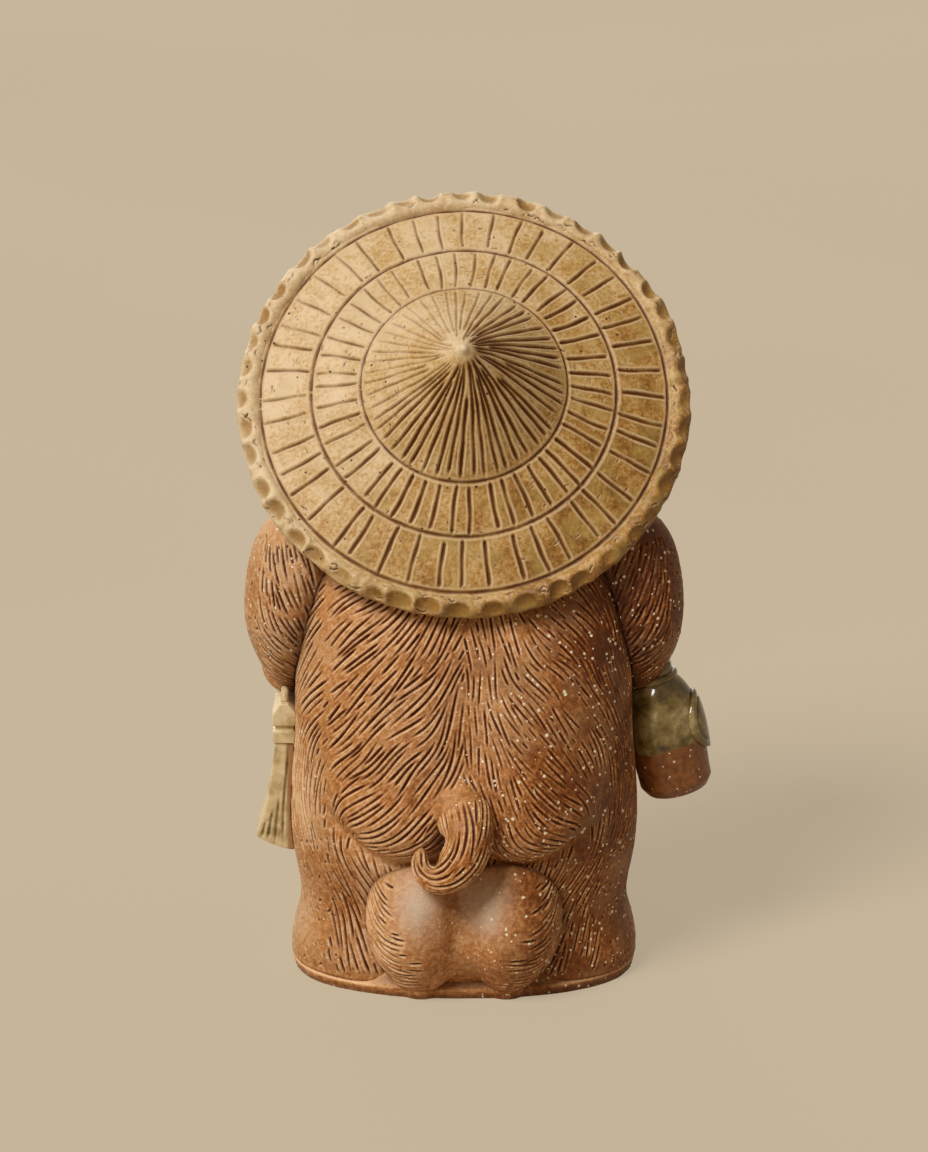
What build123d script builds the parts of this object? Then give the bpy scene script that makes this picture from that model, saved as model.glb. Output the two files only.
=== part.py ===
"""Stoneware figure of a raccoon dog in a straw hat, holding a flask and an account book.

The figure is hollow pottery: press-moulded shells with smaller moulded and hand-rolled pieces
luted on. Units are millimetres. +Z is up, the figure looks along -Y and its right hand is at -X.
The origin is on the underside of the base slab, below the axis of the body.
"""

from build123d import *

import math
import os
from collections import namedtuple

# A ring is one level cut through a moulded form: its height, how far it reaches to each side, to
# the front and to the back of its axis, and how far the axis stands behind the origin.
Ring = namedtuple("Ring", "z half_width front back y", defaults=[0.0])
# A bead is one round cut through an arm: its half sizes, and where its centre is, outward from the
# shoulder's side, behind the origin and above the shoulder's ring.
Bead = namedtuple("Bead", "out y rise across deep")

# Pottery
WALL = 9.0  # pressed clay wall of the body and the head
SEAM_Y = 0.0  # the two body moulds part on this plane
SINK = 1.5  # a luted piece is shaped this far into its neighbour, then cut to seat on it
RING_POINTS = 48
BODY_SQUARENESS = 2.35  # exponent of the body's level cuts, where 2 is an ellipse
HEAD_SQUARENESS = 2.1

# Base slab
SLAB_THICKNESS = 5.0
SLAB_LIP = 1.2  # the slab stands this far outside what it carries
VENT_RADIUS = 16.0
VENT_FORWARD = 30.0  # the firing vent's centre, in front of the origin

# Body, from the soles up to the neck
BODY_REACH = 79.0  # from the axis to the side of the hips
SOLE = Ring(z=SLAB_THICKNESS, half_width=BODY_REACH - 1.0, front=70.0, back=49.0)
FOOT = Ring(z=SOLE.z + 7.0, half_width=BODY_REACH + 0.5, front=72.0, back=50.0)
ANKLE = Ring(z=FOOT.z + 20.0, half_width=BODY_REACH - 4.0, front=69.0, back=46.0)
THIGH = Ring(z=ANKLE.z + 24.0, half_width=BODY_REACH - 1.0, front=74.0, back=50.0)
HIP = Ring(z=THIGH.z + 28.0, half_width=BODY_REACH, front=82.0, back=56.0)
WAIST = Ring(z=HIP.z + 28.0, half_width=BODY_REACH - 2.0, front=81.0, back=55.0)
CHEST = Ring(z=WAIST.z + 34.0, half_width=BODY_REACH - 3.0, front=67.0, back=49.0)
SHOULDER = Ring(z=CHEST.z + 28.0, half_width=BODY_REACH - 5.0, front=55.0, back=40.0)
COLLAR = Ring(z=SHOULDER.z + 21.0, half_width=BODY_REACH - 13.0, front=46.0, back=28.0)
NECK = Ring(z=COLLAR.z + 12.0, half_width=46.0, front=38.0, back=18.0)
BODY_RINGS = (SOLE, FOOT, ANKLE, THIGH, HIP, WAIST, CHEST, SHOULDER, COLLAR, NECK)

# Back of the body: rump cheeks, the spine's furrow between them, and the cleft between the legs
CHEEK_SWELL = 7.0
CHEEK_SPREAD = 33.0  # from the spine to the middle of a cheek
CHEEK_SIZE = 22.0
CHEEK_HEIGHT = HIP.z + 4.0
CHEEK_REACH = 30.0  # how far up and down a cheek swells
FURROW_DEPTH = 4.0
FURROW_WIDTH = 15.0
FURROW_HEIGHT = WAIST.z + 6.0
FURROW_REACH = 62.0
CLEFT_DEPTH = 12.0
CLEFT_WIDTH = 38.0
CLEFT_REACH = 50.0  # the cleft fades out this far above the slab

# Head, from the neck up to the crown
HEAD_Y = -20.0
JAW = Ring(z=NECK.z, half_width=37.0, front=26.0, back=30.0, y=HEAD_Y)
JOWL = Ring(z=JAW.z + 15.0, half_width=53.0, front=42.0, back=42.0, y=HEAD_Y)
CHEEK = Ring(z=JOWL.z + 21.0, half_width=59.0, front=48.0, back=48.0, y=HEAD_Y)
BROW = Ring(z=CHEEK.z + 23.0, half_width=54.0, front=46.0, back=46.0, y=HEAD_Y)
FOREHEAD = Ring(z=BROW.z + 20.0, half_width=41.0, front=36.0, back=34.0, y=HEAD_Y)
CROWN = Ring(z=FOREHEAD.z + 13.0, half_width=22.0, front=20.0, back=18.0, y=HEAD_Y)
HEAD_RINGS = (JAW, JOWL, CHEEK, BROW, FOREHEAD, CROWN)
HEAD_TOP = CROWN.z + 5.0

# Face pieces
MUZZLE_SIZE = (25.0, 21.0, 17.0)  # half sizes across, fore and aft, and up
MUZZLE_HEIGHT = CHEEK.z - 4.0
MUZZLE_FORWARD = 44.0  # from the head's axis to the muzzle's middle
NOSE_SIZE = (9.0, 6.5, 6.0)
NOSE_RISE = 8.0  # above the muzzle's middle
NOSE_FORWARD = 16.5  # in front of the muzzle's middle
EYE_SIZE = (9.0, 4.5, 10.0)
EYE_SPREAD = 21.0
EYE_HEIGHT = CHEEK.z + 19.0
EYE_FORWARD = 42.0  # from the head's axis
EAR_SIZE = (15.0, 7.5, 17.0)
EAR_HOLLOW = 5.0  # the ear's cup is the ear's form moved this far forward
EAR_SPREAD = 46.0
EAR_HEIGHT = CHEEK.z + 40.0
EAR_FORWARD = 13.0
EAR_LEAN = 28.0  # degrees that an ear leans outward

# Straw hat, pushed back on the head. Its own axis runs from the rim's centre to the peak.
HAT_TILT = 54.5  # degrees that the hat leans back from level
HAT_Y = HEAD_Y + 5.0  # rim centre
HAT_Z = CHEEK.z + 17.5
HAT_PEAK = 70.0  # peak above the rim's plane
CROWN_RADIUS = 46.0  # where the steep crown meets the brim
CROWN_RISE = 24.0
BRIM_RADIUS = 93.0  # where the brim meets the pressed rim
BRIM_RISE = 6.5
BRIM_BLEND = 34.0  # radius that eases the crown into the brim
HAT_WALL = 7.0  # measured along the hat's axis
PEAK_KNOB = 3.2  # radius of the knob on the peak
KNOB_SINK = 2.0  # the knob's middle is this far below the peak
RING_LINES = (CROWN_RADIUS, 68.0, 91.0)  # radii of the tied rings
RING_LINE_RADIUS = 1.1
RIM_ROLL = 5.4  # half thickness of the rolled rim
RIM_RADIUS = 95.6  # middle of the roll
RIM_RISE = 2.6
THUMB_COUNT = 44  # thumb marks round the rim
THUMB_RADIUS = 9.0
THUMB_DEPTH = 2.4
THUMB_SLANT = 48.0  # degrees from the hat's axis, outward

# Arms, hanging at the sides, from the shoulder down to the wrist
ARM_BEADS = (
    Bead(out=-22.0, y=-6.0, rise=48.0, across=7.0, deep=9.0),
    Bead(out=-11.0, y=-6.0, rise=40.0, across=19.0, deep=18.0),
    Bead(out=-3.0, y=-5.0, rise=26.0, across=23.0, deep=23.0),
    Bead(out=2.0, y=-4.0, rise=7.0, across=22.5, deep=25.0),
    Bead(out=4.0, y=-4.0, rise=-10.0, across=21.0, deep=24.0),
    Bead(out=5.0, y=-6.0, rise=-25.0, across=16.5, deep=20.0),
    Bead(out=5.5, y=-9.0, rise=-36.0, across=11.0, deep=15.0),
    Bead(out=5.5, y=-11.0, rise=-45.0, across=5.5, deep=7.5),
)
WRIST = Vector(SHOULDER.half_width + ARM_BEADS[-2].out, ARM_BEADS[-2].y, SHOULDER.z + ARM_BEADS[-2].rise)
PAW_SIZE = (13.0, 14.0, 13.0)
PAW_FORWARD = 13.0  # in front of the wrist
PAW_DROP = 2.0

# Flask in the right paw, leaning outward at its foot
FLASK_HEIGHT = 55.0  # foot to the base of the neck
FLASK_FOOT_RADIUS = 14.0
FLASK_BEVEL_RADIUS = 16.6
FLASK_BEVEL_HEIGHT = 4.0
FLASK_RADIUS = 17.8
FLASK_BELLY_HEIGHT = 27.0
FLASK_SHOULDER_RADIUS = 15.8
FLASK_SHOULDER_HEIGHT = 44.0
FLASK_NECK_RADIUS = 9.2
FLASK_NECK_LENGTH = 6.0
FLASK_LEAN = 12.5  # degrees
FLASK_NECK_PLACE = (-WRIST.X - 5.5, WRIST.Y - 1.0, WRIST.Z + 1.5)  # top of the neck, in the paw
FLASK_CORD_RADIUS = 1.9
MEDALLION_RADIUS = 14.0
MEDALLION_PROUD = 1.8
MEDALLION_LINE_RADIUS = 11.0  # radius of the ring scored in the medallion
MEDALLION_LINE_WIDTH = 1.2
MEDALLION_HEIGHT = 31.0  # its middle, above the flask's foot

# Account book below the left paw, bound at the top with its leaves fanned out below
BOOK_TOP = WRIST.Z - 16.0
BOOK_FOOT = BOOK_TOP - 66.0
BOOK_WIDTH = 30.0  # fore and aft
BOOK_Y = -6.0
BOOK_TOP_THICKNESS = 10.0
BOOK_MIDDLE_THICKNESS = 11.5
BOOK_FOOT_THICKNESS = 18.5
BOOK_FAN_START = BOOK_TOP - 38.0  # the leaves fan out below this height
BINDING_HEIGHT = 14.0
BINDING_PROUD = 1.0
BINDING_RIDGE = 5.0  # height of the binding's sloping top
BINDING_RIDGE_SHARE = 0.3  # of the binding's thickness, left at the ridge
BINDING_GROOVE = 1.2  # depth and half width of the groove between the two wraps
LOOP_RADIUS = 4.0
LOOP_THICKNESS = 1.8

# Tail, rolled by hand and curled to the left. At each bend its place, across, behind and above the
# back of the hips, and its radius.
TAIL_BENDS = (
    (2.0, -10.0, 12.0, 9.5),
    (1.0, 1.0, 9.0, 10.0),
    (-2.2, 9.5, 1.5, 10.6),
    (0.0, 13.0, -8.0, 10.0),
    (6.2, 14.0, -15.5, 8.2),
    (13.5, 13.0, -18.5, 6.0),
    (19.0, 11.0, -14.0, 4.2),
    (19.2, 8.5, -8.0, 2.6),
)

# Two-lobed money bag between the legs, seen at the back and the front. Half sizes and places.
REAR_LOBE_SIZE = (24.0, 25.0, 34.0)
REAR_LOBE = (19.5, ANKLE.back - 4.0, SLAB_THICKNESS + 32.0)
FRONT_LOBE_SIZE = (23.0, 27.0, 25.0)
FRONT_LOBE = (17.0, 9.0 - ANKLE.front, SLAB_THICKNESS + 19.0)
BRIDGE_SHARE = (0.75, 0.82, 0.94)  # size of the skin that bridges two lobes, as shares of a lobe

# Feet, set in front of the legs, with round toes
FOOT_SIZE = (25.0, 27.0, 19.0)
FOOT_SPREAD = 50.0
FOOT_FORWARD = ANKLE.front - 3.0
TOE_COUNT = 4
TOE_SIZE = (6.4, 9.0, 8.0)
TOE_FAN = 62.0  # degrees from the first toe to the last
TOE_REACH = 23.0  # from the foot's middle

SIDES = {"left": 1, "right": -1}


# Shared shapes


def closed_curve(points):
    """A smooth closed wire through the points, evenly paced so that lofted cuts match."""
    pace = [i / len(points) for i in range(len(points) + 1)]
    return Wire([Edge.make_spline(points, periodic=True, parameters=pace)])


def power(value, exponent):
    return math.copysign(abs(value) ** exponent, value)


def swell(distance, reach):
    return math.exp(-((distance / reach) ** 2))


def back_relief(x, z):
    """How far the back of the body stands out or in, beside its plain level cut."""
    cheek = CHEEK_SWELL * swell(abs(x) - CHEEK_SPREAD, CHEEK_SIZE) * swell(z - CHEEK_HEIGHT, CHEEK_REACH)
    furrow = FURROW_DEPTH * swell(x, FURROW_WIDTH) * swell(z - FURROW_HEIGHT, FURROW_REACH)
    return cheek - furrow - leg_cleft(x, z)


def leg_cleft(x, z):
    fade = max(0.0, 1.0 - (z - SLAB_THICKNESS) / CLEFT_REACH)
    return CLEFT_DEPTH * fade * math.exp(-((x / CLEFT_WIDTH) ** 4))


def level_cut(ring, squareness, inset=0.0, relief=False):
    """The closed outline of a ring, taken in by inset on all sides."""
    points = []
    for i in range(RING_POINTS):
        turn = 2 * math.pi * i / RING_POINTS
        x = (ring.half_width - inset) * power(math.cos(turn), 2 / squareness)
        behind = math.sin(turn)
        reach = (ring.back if behind > 0 else ring.front) - inset
        y = ring.y + reach * power(behind, 2 / squareness)
        if relief:
            hollow = leg_cleft(x, ring.z) if behind < 0 else back_relief(x, ring.z)
            y += hollow * abs(behind)
        points.append((x, y, ring.z))
    return closed_curve(points)


def ellipsoid(size, centre):
    return Pos(*centre) * scale(Sphere(1), by=size)


def side_reach(z):
    """Half width of the body at a height, between its two nearest rings."""
    for low, high in zip(BODY_RINGS, BODY_RINGS[1:]):
        if low.z <= z <= high.z:
            share = (z - low.z) / (high.z - low.z)
            return low.half_width + share * (high.half_width - low.half_width)
    return SOLE.half_width


def above_slab():
    """A block that keeps what stands on the slab's upper face."""
    size = 2 * HAT_Z
    return Pos(0, 0, SLAB_THICKNESS) * Box(size, size, size, align=(Align.CENTER, Align.CENTER, Align.MIN))


# Hat


def hat_place():
    lean = math.radians(HAT_TILT)
    return Plane(
        origin=(0, HAT_Y, HAT_Z), x_dir=(1, 0, 0), z_dir=(0, math.sin(lean), math.cos(lean))
    )


def brim_line(drop=0.0):
    """The hat's side line from the peak to the brim's edge, lowered by drop along its axis."""
    return FilletPolyline(
        (0, 0, HAT_PEAK - drop),
        (CROWN_RADIUS, 0, CROWN_RISE - drop),
        (BRIM_RADIUS, 0, BRIM_RISE - drop),
        radius=BRIM_BLEND,
    )


def turned(outline):
    return revolve(make_face(outline), Axis.Z)


def hat_cone():
    top = brim_line()
    under = brim_line(HAT_WALL)
    edge = Line(top @ 1, under @ 1)
    axis = Line(under @ 0, top @ 0)
    cone = turned([top, edge, under, axis])
    cone += Pos(0, 0, HAT_PEAK - KNOB_SINK) * Sphere(PEAK_KNOB)
    for radius in RING_LINES:
        cone -= Pos(0, 0, side_height(top, radius)) * Torus(radius, RING_LINE_RADIUS)
    return cone


def side_height(side_line, radius):
    """Height at which a side line passes a radius."""
    post = Line((radius, 0, -HAT_PEAK), (radius, 0, 2 * HAT_PEAK))
    return side_line.closest_points(post)[0].Z


def hat_rim():
    roll = Pos(0, 0, RIM_RISE) * Torus(RIM_RADIUS, RIM_ROLL)
    slant = math.radians(THUMB_SLANT)
    away = RIM_ROLL + THUMB_RADIUS - THUMB_DEPTH
    out = RIM_RADIUS + away * math.sin(slant)
    up = RIM_RISE + away * math.cos(slant)
    pitch = 360 / THUMB_COUNT
    thumb = Pos(out, 0, up) * Rot(0, 90, 0) * Sphere(THUMB_RADIUS)
    thumbs = [Rot(0, 0, pitch * (i + 0.5)) * thumb for i in range(THUMB_COUNT)]
    return roll - Cylinder(BRIM_RADIUS, 2 * HAT_PEAK) - thumbs


def under_hat():
    """All the room on the hat's side of its inner face, which the head and back keep out of."""
    under = brim_line(HAT_WALL)
    far = 3 * HAT_PEAK
    outer = Polyline(under @ 1, (BRIM_RADIUS, 0, far), (0, 0, far), under @ 0)
    return turned([under, outer])


# Body, head and what is luted to them


def body_solid(inset=0.0):
    """The body filled up to its outer face, or its cavity where inset is the wall."""
    return Solid.make_loft([level_cut(ring, BODY_SQUARENESS, inset, True) for ring in BODY_RINGS])


def head_solid(inset=0.0):
    cuts = [level_cut(ring, HEAD_SQUARENESS, inset) for ring in HEAD_RINGS]
    return Solid.make_loft([*cuts, Vertex(0, HEAD_Y, HEAD_TOP - inset)])


def ear(side):
    cup = scale(Sphere(1), by=EAR_SIZE) - Pos(0, -EAR_HOLLOW, 0) * scale(Sphere(1), by=EAR_SIZE)
    lean = Rot(0, side * EAR_LEAN, 0)
    return Pos(side * EAR_SPREAD, HEAD_Y - EAR_FORWARD, EAR_HEIGHT) * lean * cup


def eye(side):
    return ellipsoid(EYE_SIZE, (side * EYE_SPREAD, HEAD_Y - EYE_FORWARD, EYE_HEIGHT))


def muzzle():
    return ellipsoid(MUZZLE_SIZE, (0, HEAD_Y - MUZZLE_FORWARD, MUZZLE_HEIGHT))


def nose():
    return ellipsoid(NOSE_SIZE, (0, HEAD_Y - MUZZLE_FORWARD - NOSE_FORWARD, MUZZLE_HEIGHT + NOSE_RISE))


def arm(side):
    """A bent, tapered form through level ovals."""
    cuts = []
    for bead in ARM_BEADS:
        place = Pos(side * (SHOULDER.half_width + bead.out), bead.y, SHOULDER.z + bead.rise)
        cuts.append((place * Ellipse(bead.across, bead.deep)).face().outer_wire())
    return Solid.make_loft(cuts)


def paw(side):
    return ellipsoid(PAW_SIZE, (side * WRIST.X, WRIST.Y - PAW_FORWARD, WRIST.Z - PAW_DROP))


def lobes(size, place):
    """Two round lobes and the skin that bridges the furrow between them."""
    pair = [ellipsoid(size, (side * place[0], place[1], place[2])) for side in SIDES.values()]
    bridge_size = tuple(whole * share for whole, share in zip(size, BRIDGE_SHARE))
    return pair[0] + pair[1] + ellipsoid(bridge_size, (0, place[1], place[2]))


def foot(side):
    middle = (side * FOOT_SPREAD, -FOOT_FORWARD, SLAB_THICKNESS)
    form = ellipsoid(FOOT_SIZE, middle)
    for place in toe_places(side):
        form += Pos(0, 0, SLAB_THICKNESS) * place * scale(Sphere(1), by=TOE_SIZE)
    return form


def toe_places(side):
    """Where the toes stand on the slab, fanned round the front of a foot."""
    places = []
    for i in range(TOE_COUNT):
        turn = TOE_FAN * (i / (TOE_COUNT - 1) - 0.5)
        places.append(Pos(side * FOOT_SPREAD, -FOOT_FORWARD) * Rot(0, 0, turn) * Pos(0, -TOE_REACH))
    return places


def tail():
    points = [Vector(bend[:3]) + (0, HIP.back, HIP.z) for bend in TAIL_BENDS]
    cuts = []
    for i, bend in enumerate(TAIL_BENDS):
        before = points[max(i - 1, 0)]
        after = points[min(i + 1, len(points) - 1)]
        place = Plane(origin=points[i], x_dir=(0, 1, 0.001), z_dir=after - before)
        cuts.append((place * Circle(bend[3])).face().outer_wire())
    tip = points[-1] + (points[-1] - points[-2]).normalized() * TAIL_BENDS[-1][3]
    return Solid.make_loft([*cuts, Vertex(*tip)])


# Flask and account book


def flask_place():
    lean = math.radians(FLASK_LEAN)
    axis = Vector(math.sin(lean), 0, math.cos(lean))
    foot_centre = Vector(*FLASK_NECK_PLACE) - axis * (FLASK_HEIGHT + FLASK_NECK_LENGTH)
    return Plane(origin=foot_centre, x_dir=(math.cos(lean), 0, -math.sin(lean)), z_dir=axis)


def flask_body(grown=0.0):
    """The flask, turned about its own axis, or the same form with its side grown outward."""
    bevel = (FLASK_BEVEL_RADIUS + grown, 0, FLASK_BEVEL_HEIGHT)
    neck = (FLASK_NECK_RADIUS + grown, 0, FLASK_HEIGHT)
    side = Spline(
        bevel,
        (FLASK_RADIUS + grown, 0, FLASK_BELLY_HEIGHT),
        (FLASK_SHOULDER_RADIUS + grown, 0, FLASK_SHOULDER_HEIGHT),
        neck,
    )
    top = FLASK_HEIGHT + FLASK_NECK_LENGTH
    collar = Polyline(neck, (FLASK_NECK_RADIUS + grown, 0, top), (0, 0, top))
    foot_line = Polyline((0, 0, top), (0, 0, 0), (FLASK_FOOT_RADIUS, 0, 0), bevel)
    return turned([side, collar, foot_line])


def flask_cord():
    return Pos(0, 0, FLASK_HEIGHT) * Torus(FLASK_NECK_RADIUS, FLASK_CORD_RADIUS)


def flask_medallion():
    """A plain raised disc on the flask's outer side, with one ring scored in it."""
    outward = Plane(origin=(0, 0, MEDALLION_HEIGHT), x_dir=(0, 1, 0), z_dir=(-1, 0, 0))
    reach = FLASK_RADIUS + MEDALLION_PROUD
    disc = outward * extrude(Circle(MEDALLION_RADIUS), 2 * reach)
    ring = Circle(MEDALLION_LINE_RADIUS + MEDALLION_LINE_WIDTH / 2)
    ring -= Circle(MEDALLION_LINE_RADIUS - MEDALLION_LINE_WIDTH / 2)
    score = outward * extrude(ring, 2 * reach) - flask_body(MEDALLION_PROUD - MEDALLION_LINE_WIDTH)
    return (disc & flask_body(MEDALLION_PROUD)) - score


def book_middle(height, thickness):
    """Middle of the book's leaves at a height, with their inner face sunk in the body's side."""
    return side_reach(height) - SINK + thickness / 2


def book_cut(height, thickness):
    middle = book_middle(height, thickness)
    return Pos(middle, BOOK_Y, height) * Rectangle(thickness, BOOK_WIDTH)


def book_pages():
    cuts = [
        book_cut(BOOK_TOP - BINDING_HEIGHT, BOOK_TOP_THICKNESS),
        book_cut(BOOK_FAN_START, BOOK_MIDDLE_THICKNESS),
        book_cut(BOOK_FOOT, BOOK_FOOT_THICKNESS),
    ]
    return loft(cuts)


def book_binding():
    low = BOOK_TOP - BINDING_HEIGHT
    thick = BOOK_TOP_THICKNESS + BINDING_PROUD
    deep = BOOK_WIDTH + 2 * BINDING_PROUD
    x = book_middle(low, thick)
    block = extrude(Pos(x, BOOK_Y, low) * Rectangle(thick, deep), BINDING_HEIGHT)
    ridge = loft(
        [
            Pos(x, BOOK_Y, BOOK_TOP) * Rectangle(thick, deep),
            Pos(x, BOOK_Y, BOOK_TOP + BINDING_RIDGE) * Rectangle(thick * BINDING_RIDGE_SHARE, deep),
        ]
    )
    frame = Rectangle(2 * thick, 2 * deep)
    frame -= Rectangle(thick - 2 * BINDING_GROOVE, deep - 2 * BINDING_GROOVE)
    middle = low + BINDING_HEIGHT / 2 - BINDING_GROOVE
    return block + ridge - extrude(Pos(x, BOOK_Y, middle) * frame, 2 * BINDING_GROOVE)


def book_loop():
    top = BOOK_TOP + BINDING_RIDGE
    x = book_middle(BOOK_TOP - BINDING_HEIGHT, BOOK_TOP_THICKNESS + BINDING_PROUD)
    place = Plane(origin=(x, BOOK_Y + BOOK_WIDTH / 4, top), x_dir=(0, 1, 0), z_dir=(1, 0, 0))
    return place * Torus(LOOP_RADIUS, LOOP_THICKNESS)


# Base slab


def standing_oval(size, centre):
    """Where an ellipsoid meets the slab's upper face, grown by the slab's lip."""
    share = math.sqrt(max(0.0, 1 - ((SLAB_THICKNESS - centre[2]) / size[2]) ** 2))
    return Pos(centre[0], centre[1]) * Ellipse(size[0] * share + SLAB_LIP, size[1] * share + SLAB_LIP)


def base_slab():
    sole = level_cut(SOLE._replace(z=0.0), BODY_SQUARENESS, -SLAB_LIP)
    outline = Sketch() + make_face(sole)
    for side in SIDES.values():
        outline += standing_oval(REAR_LOBE_SIZE, (side * REAR_LOBE[0], *REAR_LOBE[1:]))
        outline += standing_oval(FRONT_LOBE_SIZE, (side * FRONT_LOBE[0], *FRONT_LOBE[1:]))
        outline += standing_oval(FOOT_SIZE, (side * FOOT_SPREAD, -FOOT_FORWARD, SLAB_THICKNESS))
        for place in toe_places(side):
            outline += place * standing_oval(TOE_SIZE, (0, 0, SLAB_THICKNESS))
    slab = extrude(outline, SLAB_THICKNESS)
    return slab - Pos(0, -VENT_FORWARD, 0) * Cylinder(VENT_RADIUS, 4 * SLAB_THICKNESS)


# Assembly


def split_at_seam(shell):
    size = 4 * HAT_Z
    behind = Pos(0, SEAM_Y + size / 2, 0) * Box(size, size, size)
    return shell & behind, shell - behind


def build():
    place = hat_place()
    cone = hat_cone()
    hat_room = place * under_hat()
    body = body_solid() - hat_room
    head = head_solid() - hat_room
    standing = above_slab()

    parts = {}
    parts["base_slab"] = base_slab()
    parts["body_back_shell"], parts["body_front_shell"] = split_at_seam(body - body_solid(WALL))
    parts["head_shell"] = head - head_solid(WALL)
    parts["hat_cone"] = place * cone
    parts["hat_rim"] = place * hat_rim() - body

    parts["muzzle"] = muzzle() - head
    parts["nose"] = nose() - muzzle() - head
    parts["tail"] = tail() - body
    parts["money_bag_rear"] = (lobes(REAR_LOBE_SIZE, REAR_LOBE) & standing) - body - parts["tail"]
    parts["money_bag_front"] = (lobes(FRONT_LOBE_SIZE, FRONT_LOBE) & standing) - body
    for name, side in SIDES.items():
        parts[f"{name}_ear"] = ear(side) - head - hat_room
        parts[f"{name}_eye"] = eye(side) - head - muzzle()
        parts[f"{name}_arm"] = arm(side) - body - head
        parts[f"{name}_paw"] = paw(side) - arm(side) - body
        parts[f"{name}_foot"] = (foot(side) & standing) - body - parts["money_bag_front"]

    lean = flask_place()
    flask_hand = [body, arm(SIDES["right"]), paw(SIDES["right"])]
    parts["flask_body"] = lean * flask_body() - flask_hand
    parts["flask_cord"] = lean * (flask_cord() - flask_body()) - flask_hand
    parts["flask_medallion"] = lean * (flask_medallion() - flask_body()) - flask_hand

    book_hand = [body, arm(SIDES["left"]), paw(SIDES["left"])]
    parts["book_binding"] = book_binding() - book_hand
    parts["book_pages"] = book_pages() - body
    parts["book_loop"] = book_loop() - book_binding() - book_hand
    return parts


def write(parts):
    os.makedirs("parts", exist_ok=True)
    for name, shape in parts.items():
        export_step(Compound(list(shape.solids())), f"parts/{name}.step")


write(build())
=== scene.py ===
"""Looks of a hollow stoneware raccoon dog in a straw hat: scored fur, a thumbed rim, wood ash.

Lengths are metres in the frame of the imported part: +Z is up and the figure looks along -Y, so the
photographed back is at +Y and the figure's left is at +X. Each piece is a fine mesh of its solid,
which is then dented and scored as the soft clay was.
"""

import math
import random

import bmesh
import bpy
import numpy as np
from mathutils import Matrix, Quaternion, Vector
from mathutils.bvhtree import BVHTree
from mathutils.kdtree import KDTree


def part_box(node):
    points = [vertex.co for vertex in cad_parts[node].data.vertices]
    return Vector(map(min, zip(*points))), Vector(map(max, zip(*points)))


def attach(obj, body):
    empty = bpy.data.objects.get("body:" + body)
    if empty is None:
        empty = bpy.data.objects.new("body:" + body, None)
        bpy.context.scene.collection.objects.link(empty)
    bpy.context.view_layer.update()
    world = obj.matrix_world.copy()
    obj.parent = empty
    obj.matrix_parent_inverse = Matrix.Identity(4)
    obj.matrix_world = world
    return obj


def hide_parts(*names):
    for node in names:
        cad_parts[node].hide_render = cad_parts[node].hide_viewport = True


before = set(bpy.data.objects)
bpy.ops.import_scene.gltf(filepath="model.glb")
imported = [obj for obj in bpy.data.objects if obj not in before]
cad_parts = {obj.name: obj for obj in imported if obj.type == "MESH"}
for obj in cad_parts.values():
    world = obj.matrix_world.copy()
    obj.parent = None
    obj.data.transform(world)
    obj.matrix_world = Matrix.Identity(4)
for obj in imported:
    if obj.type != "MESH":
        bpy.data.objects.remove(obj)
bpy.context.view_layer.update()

MM = 0.001
UP = Vector((0, 0, 1))
SIDES = {"left": 1, "right": -1}  # the figure's own sides, along X
SHELLS = ("body_back_shell", "body_front_shell")
BAGS = ("money_bag_rear", "money_bag_front")

# Camera, behind the figure and a little above it
CAMERA_DISTANCE = 1.8
CAMERA_RISE = math.radians(17.5)
CAMERA_AIM = Vector((0, 0, 184.6 * MM))
LENS_MM = 155.2
SENSOR_MM = 36.0

# Studio: a wide soft lamp high on the figure's left, a weak one before it and an even pale room.
# Each lamp's way, seen from the figure, its width, its power and whether it casts a shadow.
LAMPS = {
    "key": (Vector((0.45, 0.5, 0.74)), math.radians(24), 2.9, True),
    "fill": (Vector((0.3, -0.93, 0.2)), math.radians(60), 1.2, False),
}
AMBIENT = 0.22
FLOOR_SIZE = 9.0
FLOOR_GLOW = 0.7  # share of the paper's tone that a shadow doesn't dim

# Finishes
ASH_AND_LIGHT_WAY = (0.5, 0.1, 0.86)  # the way that ash came from in the kiln, which is also the way that painted light comes from
THICK_GLAZE_WAY = (0.75, 0.0, 0.66)  # the hat's glaze is thicker this way, up and to the left
CLAY_SHEEN = 0.28  # bare clay mirrors less than glass, which is 0.5
THIN_GLAZE_SHEEN = 0.36

# Meshes
BODY_ROW = 0.5 * MM  # spacing of the body's rows of points
BACK_COLUMN = 0.46 * MM  # spacing of its columns at the back
FRONT_COLUMN = 0.7 * MM  # and at the front
BODY_WALL = 9 * MM
COARSE = 8  # a hidden inner face has one point for this many on the outer face
CAST_FROM = 0.2  # rays towards the body's axis start this far out
CAST_INSET = 0.02 * MM  # and keep this far inside its ends, which the next piece covers
SEAM = 1e-4  # angle by which the columns keep off the seam between the shells
BODY_MIDDLE = 100 * MM  # height of the level cut that spaces the columns
OUTLINE_STEPS = 361  # points that measure that cut
SMOOTHING = 3  # times that a grid is averaged
EASING = 6  # times that the edges of a remeshed piece are eased
PIECE_VOXEL = 0.6 * MM  # spacing of the points of remeshed pieces
FOOT_VOXEL = 0.7 * MM
TAIL_VOXEL = 0.5 * MM
SLAB_VOXEL = 0.8 * MM
HEAD_VOXEL = 0.8 * MM
BEAD_VOXEL = 0.4 * MM
GLAZED_VOXEL = 0.45 * MM

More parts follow.
